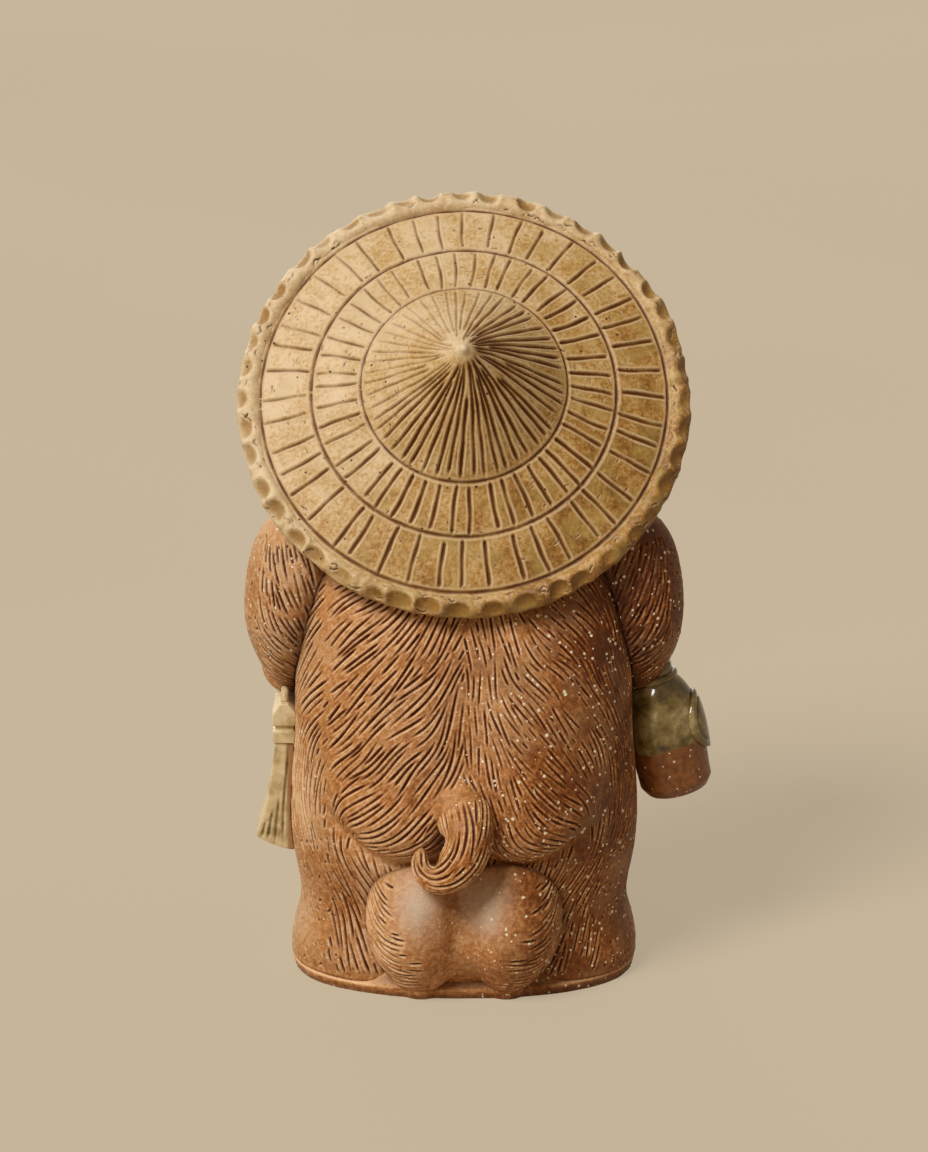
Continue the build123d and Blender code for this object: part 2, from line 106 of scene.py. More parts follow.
# Unevenness of handled clay: how deep it is and how wide, and a seed where a piece has two
WAVES = 14  # waves that add up to unevenness
WAVE_SPREAD = (0.5, 1.3)  # how their lengths differ
BODY_UNEVEN = (0.35 * MM, 22 * MM)
LUTED_UNEVEN = (0.25 * MM, 14 * MM)
FLASK_UNEVEN = (0.2 * MM, 12 * MM)
BOOK_UNEVEN = (0.25 * MM, 9 * MM)
HAT_UNEVEN = ((0.4 * MM, 25 * MM, 90), (0.16 * MM, 5 * MM, 94))
RIM_UNEVEN = ((0.4 * MM, 5 * MM, 96), (0.6 * MM, 16 * MM, 97))

# Fur, scored with a pointed tool
STEP = 0.4 * MM  # between points along a stroke
FUR_SPACING = 2.2 * MM
FUR_LENGTH = (14 * MM, 40 * MM)
FUR_WIDTH = 0.84 * MM  # half the width of a stroke
FUR_DEPTH = 1.6 * MM
FUR_FADE = 0.2  # share of a stroke's length over which each end runs out
FUR_FORCE = (0.65, 1.0)  # how hard a stroke is pressed
TREMOR = 0.12  # how far that wavers along it
TREMOR_STEPS = 6
NARROWEST = 0.6  # share of its width that a stroke keeps where it runs out
SWERVE = math.radians(7)  # how far one stroke strays from its neighbours
CLOSEST = 0.62  # strokes come this near, as a share of their spacing
BURR = 0.3  # height of the clay pushed up beside a stroke, as a share of its depth
BURR_PLACE = (1.45, 0.45)  # its distance and its reach, in half widths of the stroke
SHOULDER = 0.3  # share of a stroke's depth by which the clay sinks wide of it
SHOULDER_REACH = 1.6  # in half widths of the stroke
LONG_FIRST = 0.7  # the first strokes are at least this share of the longest
SHORTER_SOON = 1.5  # how fast that falls as the clay fills up
CUT_SHORT = 3  # a stroke that meets others may end at this part of the least length

# The body's strokes, which are finer on the figure's right
BODY_FUR = {
    "left": {"spacing": FUR_SPACING, "length": FUR_LENGTH, "tries": 14000},
    "right": {"spacing": 2.15 * MM, "length": (9 * MM, 24 * MM), "tries": 14000},
}
BODY_CUT = {"left": (FUR_WIDTH, FUR_DEPTH), "right": (0.72 * MM, 1.4 * MM)}

# Rump: the fold below each cheek sags between the tail and the hip
FOLD_LOW = 68 * MM  # height of the fold where it is lowest
FOLD_OUT = 26 * MM  # how far that is from the spine
FOLD_RISE = 12 * MM  # how far the fold rises over its span
FOLD_SPAN = 28 * MM
FOLD_DEPTH = 4 * MM
FOLD_REACH = 4.5 * MM
FOLD_DROP = 3 * MM  # the legs are tucked in most this far below it
CHEEK_SWELL = 1.8 * MM
CHEEK_RISE = 11 * MM  # the cheeks swell most this far above it
CHEEK_REACH = 10 * MM
CLEFT = (4 * MM, 14 * MM)  # the relief fades towards the spine
HIP = (50 * MM, 68 * MM)  # and towards the hips
TAIL_ROOT = (1 * MM, 93 * MM)  # across and up
TAIL_MOUND = 15 * MM  # how far the clay swells where the tail grows out
MOUND_REACH = (9.5 * MM, 12 * MM, 6 * MM)  # across, up and down
TAIL_BARE = 12 * MM  # no fur this near the tail's root

# Lean of the body's fur on each side, outward from straight down, in degrees: at the spine, what it
# gains over the back, what it loses on the flank, and between which distances from the spine it gains
FUR_LEAN = {
    "left": (18, 27, 12, (2 * MM, 22 * MM)),
    "right": (12, 28, 28, (6 * MM, 36 * MM)),
}
FLANK = (46 * MM, 74 * MM)
RUMP_LEAN = 32  # what it gains on the cheeks
RUMP_LEAN_UP = (3 * MM, 10 * MM)  # how far above the fold that is most, and its reach
RUMP_LEAN_OUT = (36 * MM, 22 * MM)  # and how far from the spine
LEAN_SWAY = 8  # how far it changes from place to place
SWAY_SIZE = (7 * MM, 12 * MM)  # across and up
LEAN_BELOW = 20  # inward, below the fold
SHARP_TURN = 0.5 * MM  # the fur turns over this height at the fold
SOFT_TURN = 40 * MM  # and over this much more on the flanks
SOFT_FLANK = (44 * MM, 62 * MM)

# Bare clay between the fur. A ragged edge is a sum of waves, each with its depth and its size.
FUR_LOWEST = 8 * MM
BELLY_HEIGHT = 96 * MM
BELLY_REACH = (58 * MM, 62 * MM)  # across and up
BELLY_EDGE = 0.33
LEG_OUT = 62 * MM  # the legs are bare this far from the spine, below a hem
HEM = ((6 * MM, 2.6 * MM), (4 * MM, 1.1 * MM))
BARE_FOLD = (-2 * MM, 0.8 * MM)  # heights beside the rump's fold
BARE_COLUMN = (60 * MM, 62.5 * MM)  # distances from the spine on the left flank
COLUMN_EDGE = ((2 * MM, 1.9 * MM), (2 * MM, 7 * MM))
BARE_PATCHES = 18 * MM  # patches on the figure's right, from this far out
BARE_PATCH_WAVES = (6 * MM, 9 * MM, 10 * MM, 14 * MM)
BARE_PATCH_EDGE = 0.72  # how rare they are
PITTED_LEG = 58 * MM  # pits on the outer leg, from this far out
PITTED_HEIGHTS = (9 * MM, FOLD_LOW + 6 * MM)
PITS = {"spacing": 2.9 * MM, "length": (1.5 * MM, 4 * MM), "tries": 5000}
PIT_FADE = 0.45
PIT_FORCE = (0.3, 1.1)
PIT_SWAY = (700, 900)  # how fast their lean changes across and up, in radians to a metre
PIT_CLUMPS = (7 * MM, 9 * MM, 5 * MM)
CLUMP_EDGE = -1.1  # how rare the gaps between clumps are

# Joints, painted shade and a darker left leg
LUTE_FLARE = 2.2 * MM  # how far the slip wiped into a joint spreads
LUTE_REACH = 2.6 * MM  # how far it climbs
JOINT_SHADE = 0.8  # how dark the painted shade in the joints between pieces is
JOINT_SHADE_REACH = 1.6 * MM
SPENT = 4  # a joint's effect ends at this many reaches
FOOT_BURR = 0.9 * MM  # how far the clay was squeezed out where the body meets the slab
FOOT_BURR_UP = (1 * MM, 1.3 * MM)  # how high that is, and its reach
TAIL_HOLLOW = (10 * MM, 79 * MM)  # middle of the painted shade in the hollow inside the tail's curl, across and up
HOLLOW_REACH = (5.5 * MM, 9 * MM)
HOLLOW_SHADE = 0.75
LEFT_LEG_DARK = 0.16  # how dark the left leg is
LEFT_LEG_DARK_ACROSS = (-20 * MM, 30 * MM)  # it sets in between these distances
LEFT_LEG_DARK_UP = (80 * MM, 50 * MM)  # and downward between these heights

# Base slab
SLAB_TOP = 5 * MM
SLAB_EASING = 12
SLAB_STRIPS = 20  # strips on each side of the spine that find its rear edge
STRIP = 4 * MM
SLAB_UNDERCUT = 1.2 * MM  # how far the slab's edge draws in towards the floor
SLAB_LEDGE = 0.9 * MM  # how far the slab stands out below the bag
SLAB_SMEAR = 11 * MM  # how far its clay is smeared up beside the bag
SMEAR_REACH = 9 * MM
SMEAR_FROM = 30 * MM  # only this far behind the body's axis
BELOW_BAG = (26 * MM, 50 * MM)  # the bag's part of the slab fades out between these distances
SLAB_CORNER_SHADE = 0.7  # how dark the painted shade is on the slab where it meets the bag
CORNER_SHADE_INSIDE = (-0.5 * MM, 3 * MM)
SLAB_SIDE_SHADE = 0.55  # how dark the painted shade is on its side at the floor
SIDE_SHADE_RISE = (0.2, 0.8)  # shares of its height
RUBBED_EDGE = 0.8 * MM  # the pale edge ends this near the slab's rear edge
RUBBED_RISE = (0.65, 1)  # shares of its height
CORNER_SHADE_RISE = (0.6, 1)
FACES_UP = 0.5  # clay that faces up more than this is smeared
FACES_BACK = 0.3

# Arms, paws and feet
ARM_FUR = {"spacing": 1.95 * MM, "length": (8 * MM, 20 * MM), "tries": 6000}
ARM_FUR_TOP = 205 * MM
ARM_BARE = 0.75  # an arm is bare where it faces outward more than this
ARM_PITS = 0.7  # and pitted where it does so more than this
ARM_LEAN = (18, 30)  # lean of the fur in degrees at the shoulder, and what it gains
ARM_LEAN_UP = (185 * MM, 140 * MM)
ARM_SHADE_REACH = 6 * MM  # how far the painted shade reaches over the arms from the body
ARM_SHADE = 0.13  # how dark the painted shade of the hat is on them all over
FOOT_PITS = 0.3  # a foot is pitted where it faces up more than this
FINGER_SPAN = (0.2, 0.7)  # the lines between fingers run between these shares of a paw's height
FINGER_GAPS = (0.3, 0.5, 0.7)  # and lie at these shares of its width

# Tail
TAIL_LINE = [  # the middle of the tail, from its root to its tip
    Vector(place) * MM
    for place in (
        (2, 46, 96),
        (1, 57, 93),
        (-2, 65, 85),
        (0, 69, 76),
        (6, 70, 68),
        (13, 69, 65),
        (19, 67, 70),
        (19, 64, 76),
    )
]
TAIL_FUR = {"spacing": 2.5 * MM, "tries": 2500}
TAIL_FUR_TOP = 101 * MM
TAIL_NEAR = 2 * MM  # how near a stretch of that line has to be to lead the fur
TAIL_SINK = 4 * MM  # how far the tail's root sinks into the swelling of the rump
TAIL_SINK_UP = (89 * MM, 104 * MM)

# Money bag
BAG_FUR = {"length": (12 * MM, 30 * MM), "tries": 5000}
BAG_FADE = 0.3
BAG_EASING = 60
BAG_FUR_UP = (9 * MM, 58 * MM)
BAG_BARE = 17 * MM  # half the width without fur, at the bottom
BAG_BARE_MORE = 15 * MM  # what it gains upward
BAG_BARE_UP = (14 * MM, 44 * MM)
BAG_EDGE = ((3 * MM, 2 * MM),)
BAG_LEAN = (52, 42)  # lean of the fur in degrees at the sides, and what it gains inward
BAG_LEAN_OUT = (44 * MM, 24 * MM)
BAG_PRESS = 1.5 * MM  # how far the bag's lower edge is pressed into the slab
PRESS_TOP = 12 * MM
VALLEY = 0.05  # how far the bag sinks between its lobes, as a share of its distance from the middle
VALLEY_REACH = 7 * MM
ASH_HIGHLIGHT_SPREAD = 15.5 * MM  # half the distance between the ash and painted highlight on one lobe and on the other
ASH_HIGHLIGHT_DRIFT = 6 * MM  # how far it lies to the left of their middle
ASH_HIGHLIGHT_HEIGHT = 50 * MM
ASH_HIGHLIGHT_REACH = (9 * MM, 12 * MM)  # across and up
ASH_HIGHLIGHT_COVER = 0.75  # how much of the clay it hides, and by how much that varies
ASH_HIGHLIGHT_PATCHES = 0.3
ASH_HIGHLIGHT_PATCH = 6 * MM

# Face and belly
HEAD_TRIES = 5000
BROW = 276 * MM  # fur runs up from this height
BROW_BACK = -20 * MM  # on the clay in front of this
BROW_LEAN = math.pi - 0.5
BROW_FAN = 20  # how much it fans out, in radians to a metre
JOWL_OUT = 32 * MM
JOWL_TOP = 280 * MM
JOWL_SWEEP = 0.4  # how far the fur on the jowls runs back as it runs outward
JOWL_LEAN = math.radians(38)
EYE_SPREAD = 21 * MM
EYE_HEIGHT = 262 * MM
LID_SIZE = (10.5 * MM, 11.5 * MM)
LID_END = 0.2  # angle by which a lid stops short of level
LID_TURN = 0.04  # angle between its points
LID_CUT = (1.1 * MM, 1.2 * MM)  # half the width and the depth
EYE_PATCH_SIZE = (25 * MM, 16 * MM)  # half sizes of the dark mark round an eye
EYE_PATCH_PLACE = (7 * MM, -4 * MM)  # outward and up from the eye
EYE_PATCH_SLOPE = math.radians(28)
EYE_PATCH_RIM = (0.8, 1.0)  # it fades out between these shares of its size
FACE_FRONT = -30 * MM
MOUTH_HEIGHT = 231 * MM
MOUTH_HALF_WIDTH = 15 * MM
MOUTH_CURL = 5 * MM  # how far the corners of the mouth turn up
MOUTH_CUT = (0.9 * MM, 1.3 * MM)
LIP_HEIGHT = 12 * MM
WHISKERS = ((9 * MM, 238 * MM), (13 * MM, 241 * MM), (14 * MM, 236 * MM))
NAVEL_HEIGHT = 96 * MM
NAVEL_RADIUS = 4 * MM
NAVEL_CUT = (1.6 * MM, 1.6 * MM)
NAVEL_FADE = 0.02
NAVEL_TURN = 0.1  # angle between points of its ring

# Straw hat. Its own axis runs from the rim's centre to the peak.
HAT_TILT = math.radians(54.5)
HAT_CENTRE = np.array((0, -15 * MM, 260.5 * MM))
HAT_AXIS = np.array((0, math.sin(HAT_TILT), math.cos(HAT_TILT)))
HAT_LEFT = np.array((1.0, 0, 0))  # angles round the hat start here
HAT_DOWN = np.cross(HAT_AXIS, HAT_LEFT)  # and turn this way, down the figure's back
HAT_PEAK = 70 * MM
CROWN_RADIUS = 46 * MM
CROWN_RISE = 24 * MM
BRIM_RADIUS = 93 * MM
BRIM_RISE = 6.5 * MM
BRIM_EASE = 1.3 * MM  # how softly the crown runs out into the brim
HAT_WALL = 7 * MM
PEAK_KNOB = 2.2 * MM
KNOB_SINK = 2 * MM  # how far the middle of that knob lies below the peak
PEAK_RING = PEAK_KNOB / 12  # radius of the first ring of points
PEAK_WEAR = 0.9
PEAK_WEAR_OUT = (1 * MM, 7 * MM)
HAT_COLUMNS = 1024
HAT_ROW = 0.55 * MM
HAT_RINGS = (CROWN_RADIUS, 68 * MM, 91 * MM)  # radii of the scored rings
RING_CUT = (1.15 * MM, 1.35 * MM)
RING_TURN = 2.02 * math.pi  # a ring is drawn a little past its start
RING_FADE = 0.004
# Straws scored between the rings: how many, where they start and stop, how raggedly they start and
# how lightly they are scored on the side that is least deep
HAT_BANDS = (
    (50, 4.5 * MM, 45.5 * MM, 14 * MM, 0.42),
    (46, 46.5 * MM, 67.8 * MM, 1.5 * MM, 0.66),
    (44, 68.5 * MM, 90.8 * MM, 2 * MM, 0.72),
)
PEAK_SWIRL = 0.4  # how far the straws turn at the peak
SWIRL_REACH = 15 * MM
STRAW_CUT = (1.05 * MM, 1.35 * MM)
STRAW_FADE = 0.07
STRAW_FORCE = (0.75, 1.0)
STRAW_SHIFT = 0.22  # how far a straw is out of place, as a share of their spacing
STRAW_END = (-1.5 * MM, 0.5 * MM)  # how far it stops from its place
STRAW_BOW = 0.6 * MM
STRAW_WOBBLE = 0.09 * MM
WOBBLE_LENGTH = 2.2 * MM
WAVE_START = (0, 6)  # the angle at which a wobble starts
DEEP_SIDE = math.radians(135)  # the lines are deepest on this side of the hat, low at the figure's right
DEEP_SPREAD = (-0.9, 0.4)
DEEPEST = 1.15  # how deep they are there, as a share of their depth
NICKS = 160  # short scratches in the clay
NICK_RADII = (25 * MM, 90 * MM)
NICK_LENGTH = (1.5 * MM, 4 * MM)
NICK_STRAY = 1 * MM
NICK_CUT = (STRAW_CUT[0] / 2, STRAW_CUT[1] / 2)

# Rim of the hat
RIM_RADIUS = 95.6 * MM
RIM_ROLL = 5.4 * MM
RIM_RISE = 2.6 * MM
RIM_ROOT = 90 * MM  # the rim's roll reaches in below the brim to here
RIM_SECTION = 56  # points round the rolled rim
RIM_COLUMNS = 1280
RIM_WEAR = 0.4
THUMBS = 44
THUMB_SHIFT = 0.18  # how far a dent is out of place, as a share of their spacing
THUMB_SIZE = np.array((5.6, 6.6, 4.4)) * MM  # half sizes of a dent: along the rim, across it and deep
THUMB_SIZES = (0.82, 1.1)  # how these vary
THUMB_DEPTH = 2.8 * MM
THUMB_DEPTHS = (0.6, 1.2)
THUMB_SLANT = math.radians(44)  # outward from the hat's axis
SLANT_STRAY = 0.2
THUMB_TWIST = math.radians(22)  # dents lie askew by this much
TWIST_STRAY = 0.4
THUMB_LIP = 0.6 * MM  # clay squeezed up round a dent
THUMB_LIP_PLACE = (1.12, 0.2)  # how far out that is and how wide, in half sizes of the dent
DENT_POOL = 0.8  # how much glaze pools in a dent
TEARS = 2  # short cracks torn in each ridge between dents
TEAR_SHIFT = 0.25
TEAR_REACH = (1 * MM, 3.2 * MM)
TEAR_TURN = (0.2, 2.2)  # where they are on the roll, as an angle
TEAR_WAVER = 0.12
WAVER_LENGTH = 0.7 * MM
TEAR_CUT = (0.55 * MM, 1.3 * MM)

# Flask and book
FLASK_LEAN = math.radians(12.5)
GLAZE_LINE = 24 * MM  # the flask's glaze stops this far above its foot
GLAZE_RUN = 2.5 * MM  # how far that line wanders
GLAZE_WAVE = 14 * MM
GLAZE_EDGE = 0.4 * MM
# Gaps between the book's leaves: how far each is from the body outward, and how far up it runs
LEAF_GAPS = ((0.28, 1.0), (0.5, 0.5), (0.7, 0.38), (0.86, 0.24))
LEAF_CUT = (0.8 * MM, 1.2 * MM)
BOOK_SWEEP = 7 * MM  # how far the leaves' lower outer corner is swept up
INNER_LEAF = (0.2, 0.3)  # the glaze runs out on the leaf between these shares


# Numbers


def blend(value, low, high):
    """0 at low, 1 at high and a smooth rise between."""
    share = np.clip((value - low) / (high - low), 0, 1)
    return share * share * (3 - 2 * share)


def bell(distance, reach):
    """1 at no distance, falling away over a reach."""
    return np.exp(-((distance / reach) ** 2))


def waves(points, size, seed):
    """Smooth unevenness from about -1 to 1, with hollows about as wide as size."""
    source = np.random.default_rng(seed)
    ways = source.normal(size=(WAVES, 3))
    ways /= np.linalg.norm(ways, axis=1, keepdims=True)
    ways *= math.pi / size * source.uniform(*WAVE_SPREAD, (WAVES, 1))
    return np.sin(points @ ways.T + source.uniform(0, 2 * math.pi, WAVES)).mean(axis=1) * 2


def wander(value, swings):
    """A ragged line: waves of these depths and sizes, added up."""
    return sum(depth * math.sin(value / size) for depth, size in swings)


def smoothed(grid):
    """A grid of numbers averaged with its neighbours; its columns run right round."""
    for _ in range(SMOOTHING):
        grid = (np.roll(grid, 1, 1) + 2 * grid + np.roll(grid, -1, 1)) / 4
        tall = np.vstack([grid[:1], grid, grid[-1:]])
        grid = (tall[:-2] + 2 * grid + tall[2:]) / 4
    return grid


# Meshes


def points_of(mesh, kind="vertices", part="co"):
    values = np.empty(3 * len(mesh.vertices), np.float32)
    getattr(mesh, kind).foreach_get(part, values)
    return values.reshape(-1, 3).astype(float)


def normals_of(mesh):
    return points_of(mesh, "vertex_normals", "vector")


def set_points(mesh, points):
    mesh.vertices.foreach_set("co", points.astype(np.float32).ravel())
    mesh.update()


def set_attribute(mesh, name, values):
    layer = mesh.attributes.get(name) or mesh.attributes.new(name, "FLOAT", "POINT")
    layer.data.foreach_set("value", np.asarray(values, np.float32))


def get_attribute(mesh, name):
    values = np.zeros(len(mesh.vertices), np.float32)
    if name in mesh.attributes:
        mesh.attributes[name].data.foreach_get("value", values)
    return values


def new_piece(node, mesh, finish):
    """A piece that stands for a CAD node, smooth shaded, with its finish."""
    piece = bpy.data.objects.new("fired_" + node, mesh)
    bpy.context.scene.collection.objects.link(piece)
    mesh.shade_smooth()
    mesh.materials.clear()
    mesh.materials.append(finish)
    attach(piece, "root")
    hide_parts(node)
    return piece


def mesh_of(name, points, faces):
    mesh = bpy.data.meshes.new(name)
    mesh.from_pydata(points.tolist(), [], faces)
    mesh.validate()
    return mesh


def fine_copy(node, voxel, easing=EASING):
    """An even, fine mesh of a CAD node, with its edges eased as wet clay's are."""
    copy = bpy.data.objects.new(node + "_copy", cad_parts[node].data.copy())
    bpy.context.scene.collection.objects.link(copy)
    remesh = copy.modifiers.new("even", "REMESH")
    remesh.mode = "VOXEL"
    remesh.voxel_size = voxel
    ease = copy.modifiers.new("ease", "SMOOTH")
    ease.factor = 0.5
    ease.iterations = easing
    graph = bpy.context.evaluated_depsgraph_get()
    mesh = bpy.data.meshes.new_from_object(copy.evaluated_get(graph))
    bpy.data.objects.remove(copy)
    return mesh


def surface_of(mesh):
    """A mesh's surface, to find the nearest place on it."""
    form = bmesh.new()
    form.from_mesh(mesh)
    surface = BVHTree.FromBMesh(form)
    form.free()
    return surface


def grid_faces(rows, columns, start=0, flip=False, wrap=False):
    """Four-sided faces between rows of points; wrap joins the last column to the first."""
    number = np.arange(rows * columns).reshape(rows, columns) + start
    if wrap:
        number = np.hstack([number, number[:, :1]])
    corners = [number[:-1, :-1], number[:-1, 1:], number[1:, 1:], number[1:, :-1]]
    if flip:
        corners.reverse()
    return np.stack(corners, axis=-1).reshape(-1, 4).tolist()


def grid_edge(rows, columns, start=0):
    """The points round the edge of a grid, in order."""
    number = np.arange(rows * columns).reshape(rows, columns) + start
    edge = [number[0, :-1], number[:-1, -1], number[-1, :0:-1], number[:0:-1, 0]]
    return np.concatenate(edge).tolist()


def stitch(fine, coarse):
    """Faces between a fine closed loop of points and a coarse one that runs beside it."""
    faces = []
    for i, near in enumerate(coarse):
        far = coarse[(i + 1) % len(coarse)]
        run = [fine[(i * COARSE + j) % len(fine)] for j in range(COARSE + 1)]
        for j in range(COARSE):
            faces.append([run[j + 1], run[j], near if j < COARSE // 2 else far])
        faces.append([run[COARSE // 2], near, far])
    return faces


def uneven(mesh, depth, size, seed):
    """Raises and sinks a mesh by the small unevenness of handled clay."""
    points = points_of(mesh)
    set_points(mesh, points + normals_of(mesh) * (waves(points, size, seed) * depth)[:, None])


def gap_to(points, neighbours, reach):
    """How far points lie from CAD nodes, up to a reach."""
    gap = np.full(len(points), reach)
    for name in neighbours:
        surface = surface_of(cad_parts[name].data)
        for i, point in enumerate(points):
            distance = surface.find_nearest(point, gap[i])[3]
            if distance is not None:
                gap[i] = distance
    return gap


def luted(mesh, neighbours):
    """Spreads a piece over what it is stuck to, as slip wiped into the joint does."""
    points = points_of(mesh)
    spread = LUTE_FLARE * np.exp(-gap_to(points, neighbours, SPENT * LUTE_REACH) / LUTE_REACH)
    set_points(mesh, points + normals_of(mesh) * spread[:, None])


def darken(mesh, dark_marks_and_shade):
    """Darkens a piece where it isn't as dark already: painted shade, and the clay's own darker marks."""
    set_attribute(mesh, "dark_marks_and_shade", np.maximum(get_attribute(mesh, "dark_marks_and_shade"), dark_marks_and_shade))


def shade_joints(mesh, neighbours, reach=JOINT_SHADE_REACH):
    """Darkens a piece where it meets others: painted shade in the joints."""
    gap = gap_to(points_of(mesh), neighbours, SPENT * reach)
    darken(mesh, JOINT_SHADE * np.exp(-gap / reach))


# Scoring


def comb(piece, flow, seed, tries, spacing=FUR_SPACING, length=FUR_LENGTH):
    """Strokes over a piece that follow flow, evenly spaced, the long ones first, as lists of points."""
    dice = random.Random(seed)
    surface = surface_of(piece.data)
    vertices = piece.data.vertices
    taken = {}

    def cell(place):
        return tuple(math.floor(c / spacing) for c in place)

    def crowded(place, gap):
        a, b, c = cell(place)
        for i in (a - 1, a, a + 1):
            for j in (b - 1, b, b + 1):
                for k in (c - 1, c, c + 1):
                    for other in taken.get((i, j, k), ()):
                        if (other - place).length < gap:
                            return True
        return False

    def trace(place, normal, step, count, turn):
        line = []
        for _ in range(count):
            way = flow(place, normal)
            if way is None:
                break
            way = Quaternion(normal, turn) @ (way - normal * way.dot(normal)).normalized()
            place, normal, _, _ = surface.find_nearest(place + way * step)
            if crowded(place, CLOSEST * spacing):
                break
            line.append(place)
        return line

    shortest, longest = length
    strokes = []
    for number in range(tries):
        start = vertices[dice.randrange(len(vertices))]
        least = max(shortest / CUT_SHORT, LONG_FIRST * longest * (1 - SHORTER_SOON * number / tries))
        count = int(dice.uniform(max(least, shortest), longest) / STEP / 2)
        turn = dice.uniform(-SWERVE, SWERVE)
        place, normal = start.co.copy(), start.normal.copy()
        if flow(place, normal) is None or crowded(place, spacing):
            continue
        ahead = trace(place, normal, STEP, count, turn)
        behind = trace(place, normal, -STEP, count, turn)
        line = [*reversed(behind), place, *ahead]
        if len(line) * STEP < least:
            continue
        for point in line:
            taken.setdefault(cell(point), []).append(point)
        strokes.append(line)
    return strokes


def score(piece, strokes, width=FUR_WIDTH, depth=FUR_DEPTH, fade=FUR_FADE, weights=None, seed=0):
    """Cuts strokes into a piece, tapered at their ends, and keeps how deep each point is cut."""
    dice = random.Random(seed)
    places, tapers = [], []
    for number, line in enumerate(strokes):
        weight = weights[number] if weights else dice.uniform(*FUR_FORCE)
        for i, place in enumerate(line):
            share = (i + 0.5) / len(line)
            places.append(place)
            tremor = 1 - TREMOR + TREMOR * math.sin(i / TREMOR_STEPS + number)
            tapers.append(weight * tremor * min(1.0, share / fade, (1 - share) / fade))
    tree = KDTree(len(places))
    for i, place in enumerate(places):
        tree.insert(place, i)
    tree.balance()
    mesh = piece.data
    points = points_of(mesh)
    found = [tree.find(point)[1:] for point in points]
    taper = np.array(tapers)[[number for number, _ in found]]
    away = np.array([distance for _, distance in found])
    share = away / (width * (NARROWEST + (1 - NARROWEST) * taper))
    cut = taper * np.clip(1 - share**2, 0, 1) ** 2
    lip = taper * bell(share - BURR_PLACE[0], BURR_PLACE[1])
    sunk = (1 - SHOULDER) * cut + SHOULDER * taper * bell(share, SHOULDER_REACH)
    set_points(mesh, points + normals_of(mesh) * (depth * (BURR * lip - sunk))[:, None])
    set_attribute(mesh, "groove", np.maximum(get_attribute(mesh, "groove"), cut))
    set_attribute(mesh, "ridge", np.maximum(get_attribute(mesh, "ridge"), lip))


def cast_lines(piece, lines):
    """Lines drawn on the front of a piece, each given as places across and up."""
    surface = surface_of(piece.data)
    ahead = Vector((0, 1, 0))
    drawn = []
    for line in lines:
        hits = [surface.ray_cast(Vector((x, -CAST_FROM, z)), ahead)[0] for x, z in line]
        drawn.append([hit for hit in hits if hit])
    return drawn


def pit(piece, smooth, seed):
    """Pits in clumps where grit dragged on smooth clay, on the places that smooth names."""

    def flow(place, normal):
        x, y, z = place
        bend = 2 * math.sin(z / PIT_CLUMPS[1])
        clump = math.sin(y / PIT_CLUMPS[0] + bend) + math.sin(z / PIT_CLUMPS[2])
        if clump < CLUMP_EDGE or not smooth(place, normal):
            return None
        return slanted(UP.cross(normal), math.sin(x * PIT_SWAY[0] + z * PIT_SWAY[1]))

    pits = comb(piece, flow, seed, **PITS)
    dice = random.Random(seed)
    score(piece, pits, fade=PIT_FADE, weights=[dice.uniform(*PIT_FORCE) for _ in pits])


def slanted(level, lean):
    """A way over a surface that leans from straight down towards a level way."""
    return level * math.sin(lean) - UP * math.cos(lean)


# Body


def body_reach(surfaces, angles, heights):
    """How far the body's outer face stands from its axis, by height and angle."""
    reach = np.full((len(heights), len(angles)), np.nan)
    for j, angle in enumerate(angles):
        way = Vector((math.cos(angle), math.sin(angle), 0))
        surface = surfaces["body_back_shell" if way.y > 0 else "body_front_shell"]
        for i, height in enumerate(heights):
            hit = surface.ray_cast(way * CAST_FROM + UP * height, -way, CAST_FROM)
            if hit[0] is not None:
                reach[i, j] = CAST_FROM - hit[3]
    for column in reach.T:
        gaps = np.isnan(column)
        column[gaps] = np.interp(heights[gaps], heights[~gaps], column[~gaps])
    return reach


def even_angles(surfaces, first, last, spacing):
    """Angles that space a level cut's columns evenly along its outline."""
    fine = np.linspace(first, last, OUTLINE_STEPS)
    reach = body_reach(surfaces, fine, np.array([BODY_MIDDLE, BODY_MIDDLE + BODY_ROW]))[0]
    steps = np.hypot(np.diff(reach * np.cos(fine)), np.diff(reach * np.sin(fine)))
    walk = np.concatenate([[0], np.cumsum(steps)])
    count = COARSE * round(walk[-1] / spacing / COARSE) + 1
    return np.interp(np.linspace(0, walk[-1], count), walk, fine)


def half_shell(name, angles, heights, reach):
    """One half of the body: its outer face, a coarse inner face and the wall's edge between."""
    rows, columns = reach.shape

    def face_points(reach, angles, heights):
        across = reach * np.cos(angles)
        return np.stack(np.broadcast_arrays(across, reach * np.sin(angles), heights[:, None]), axis=-1)

    hidden = np.maximum(reach - BODY_WALL, reach / 2)[::COARSE, ::COARSE]
    outer = face_points(reach, angles, heights).reshape(-1, 3)
    inner = face_points(hidden, angles[::COARSE], heights[::COARSE]).reshape(-1, 3)
    start = len(outer)
    faces = grid_faces(rows, columns) + grid_faces(*hidden.shape, start, flip=True)
    faces += stitch(grid_edge(rows, columns), grid_edge(*hidden.shape, start))
    return mesh_of(name, np.vstack([outer, inner]), faces)


def above_fold(x, z):
    """How far a place on the back lies above the fold of the rump."""
    return z - FOLD_LOW - FOLD_RISE * ((abs(x) - FOLD_OUT) / FOLD_SPAN) ** 2


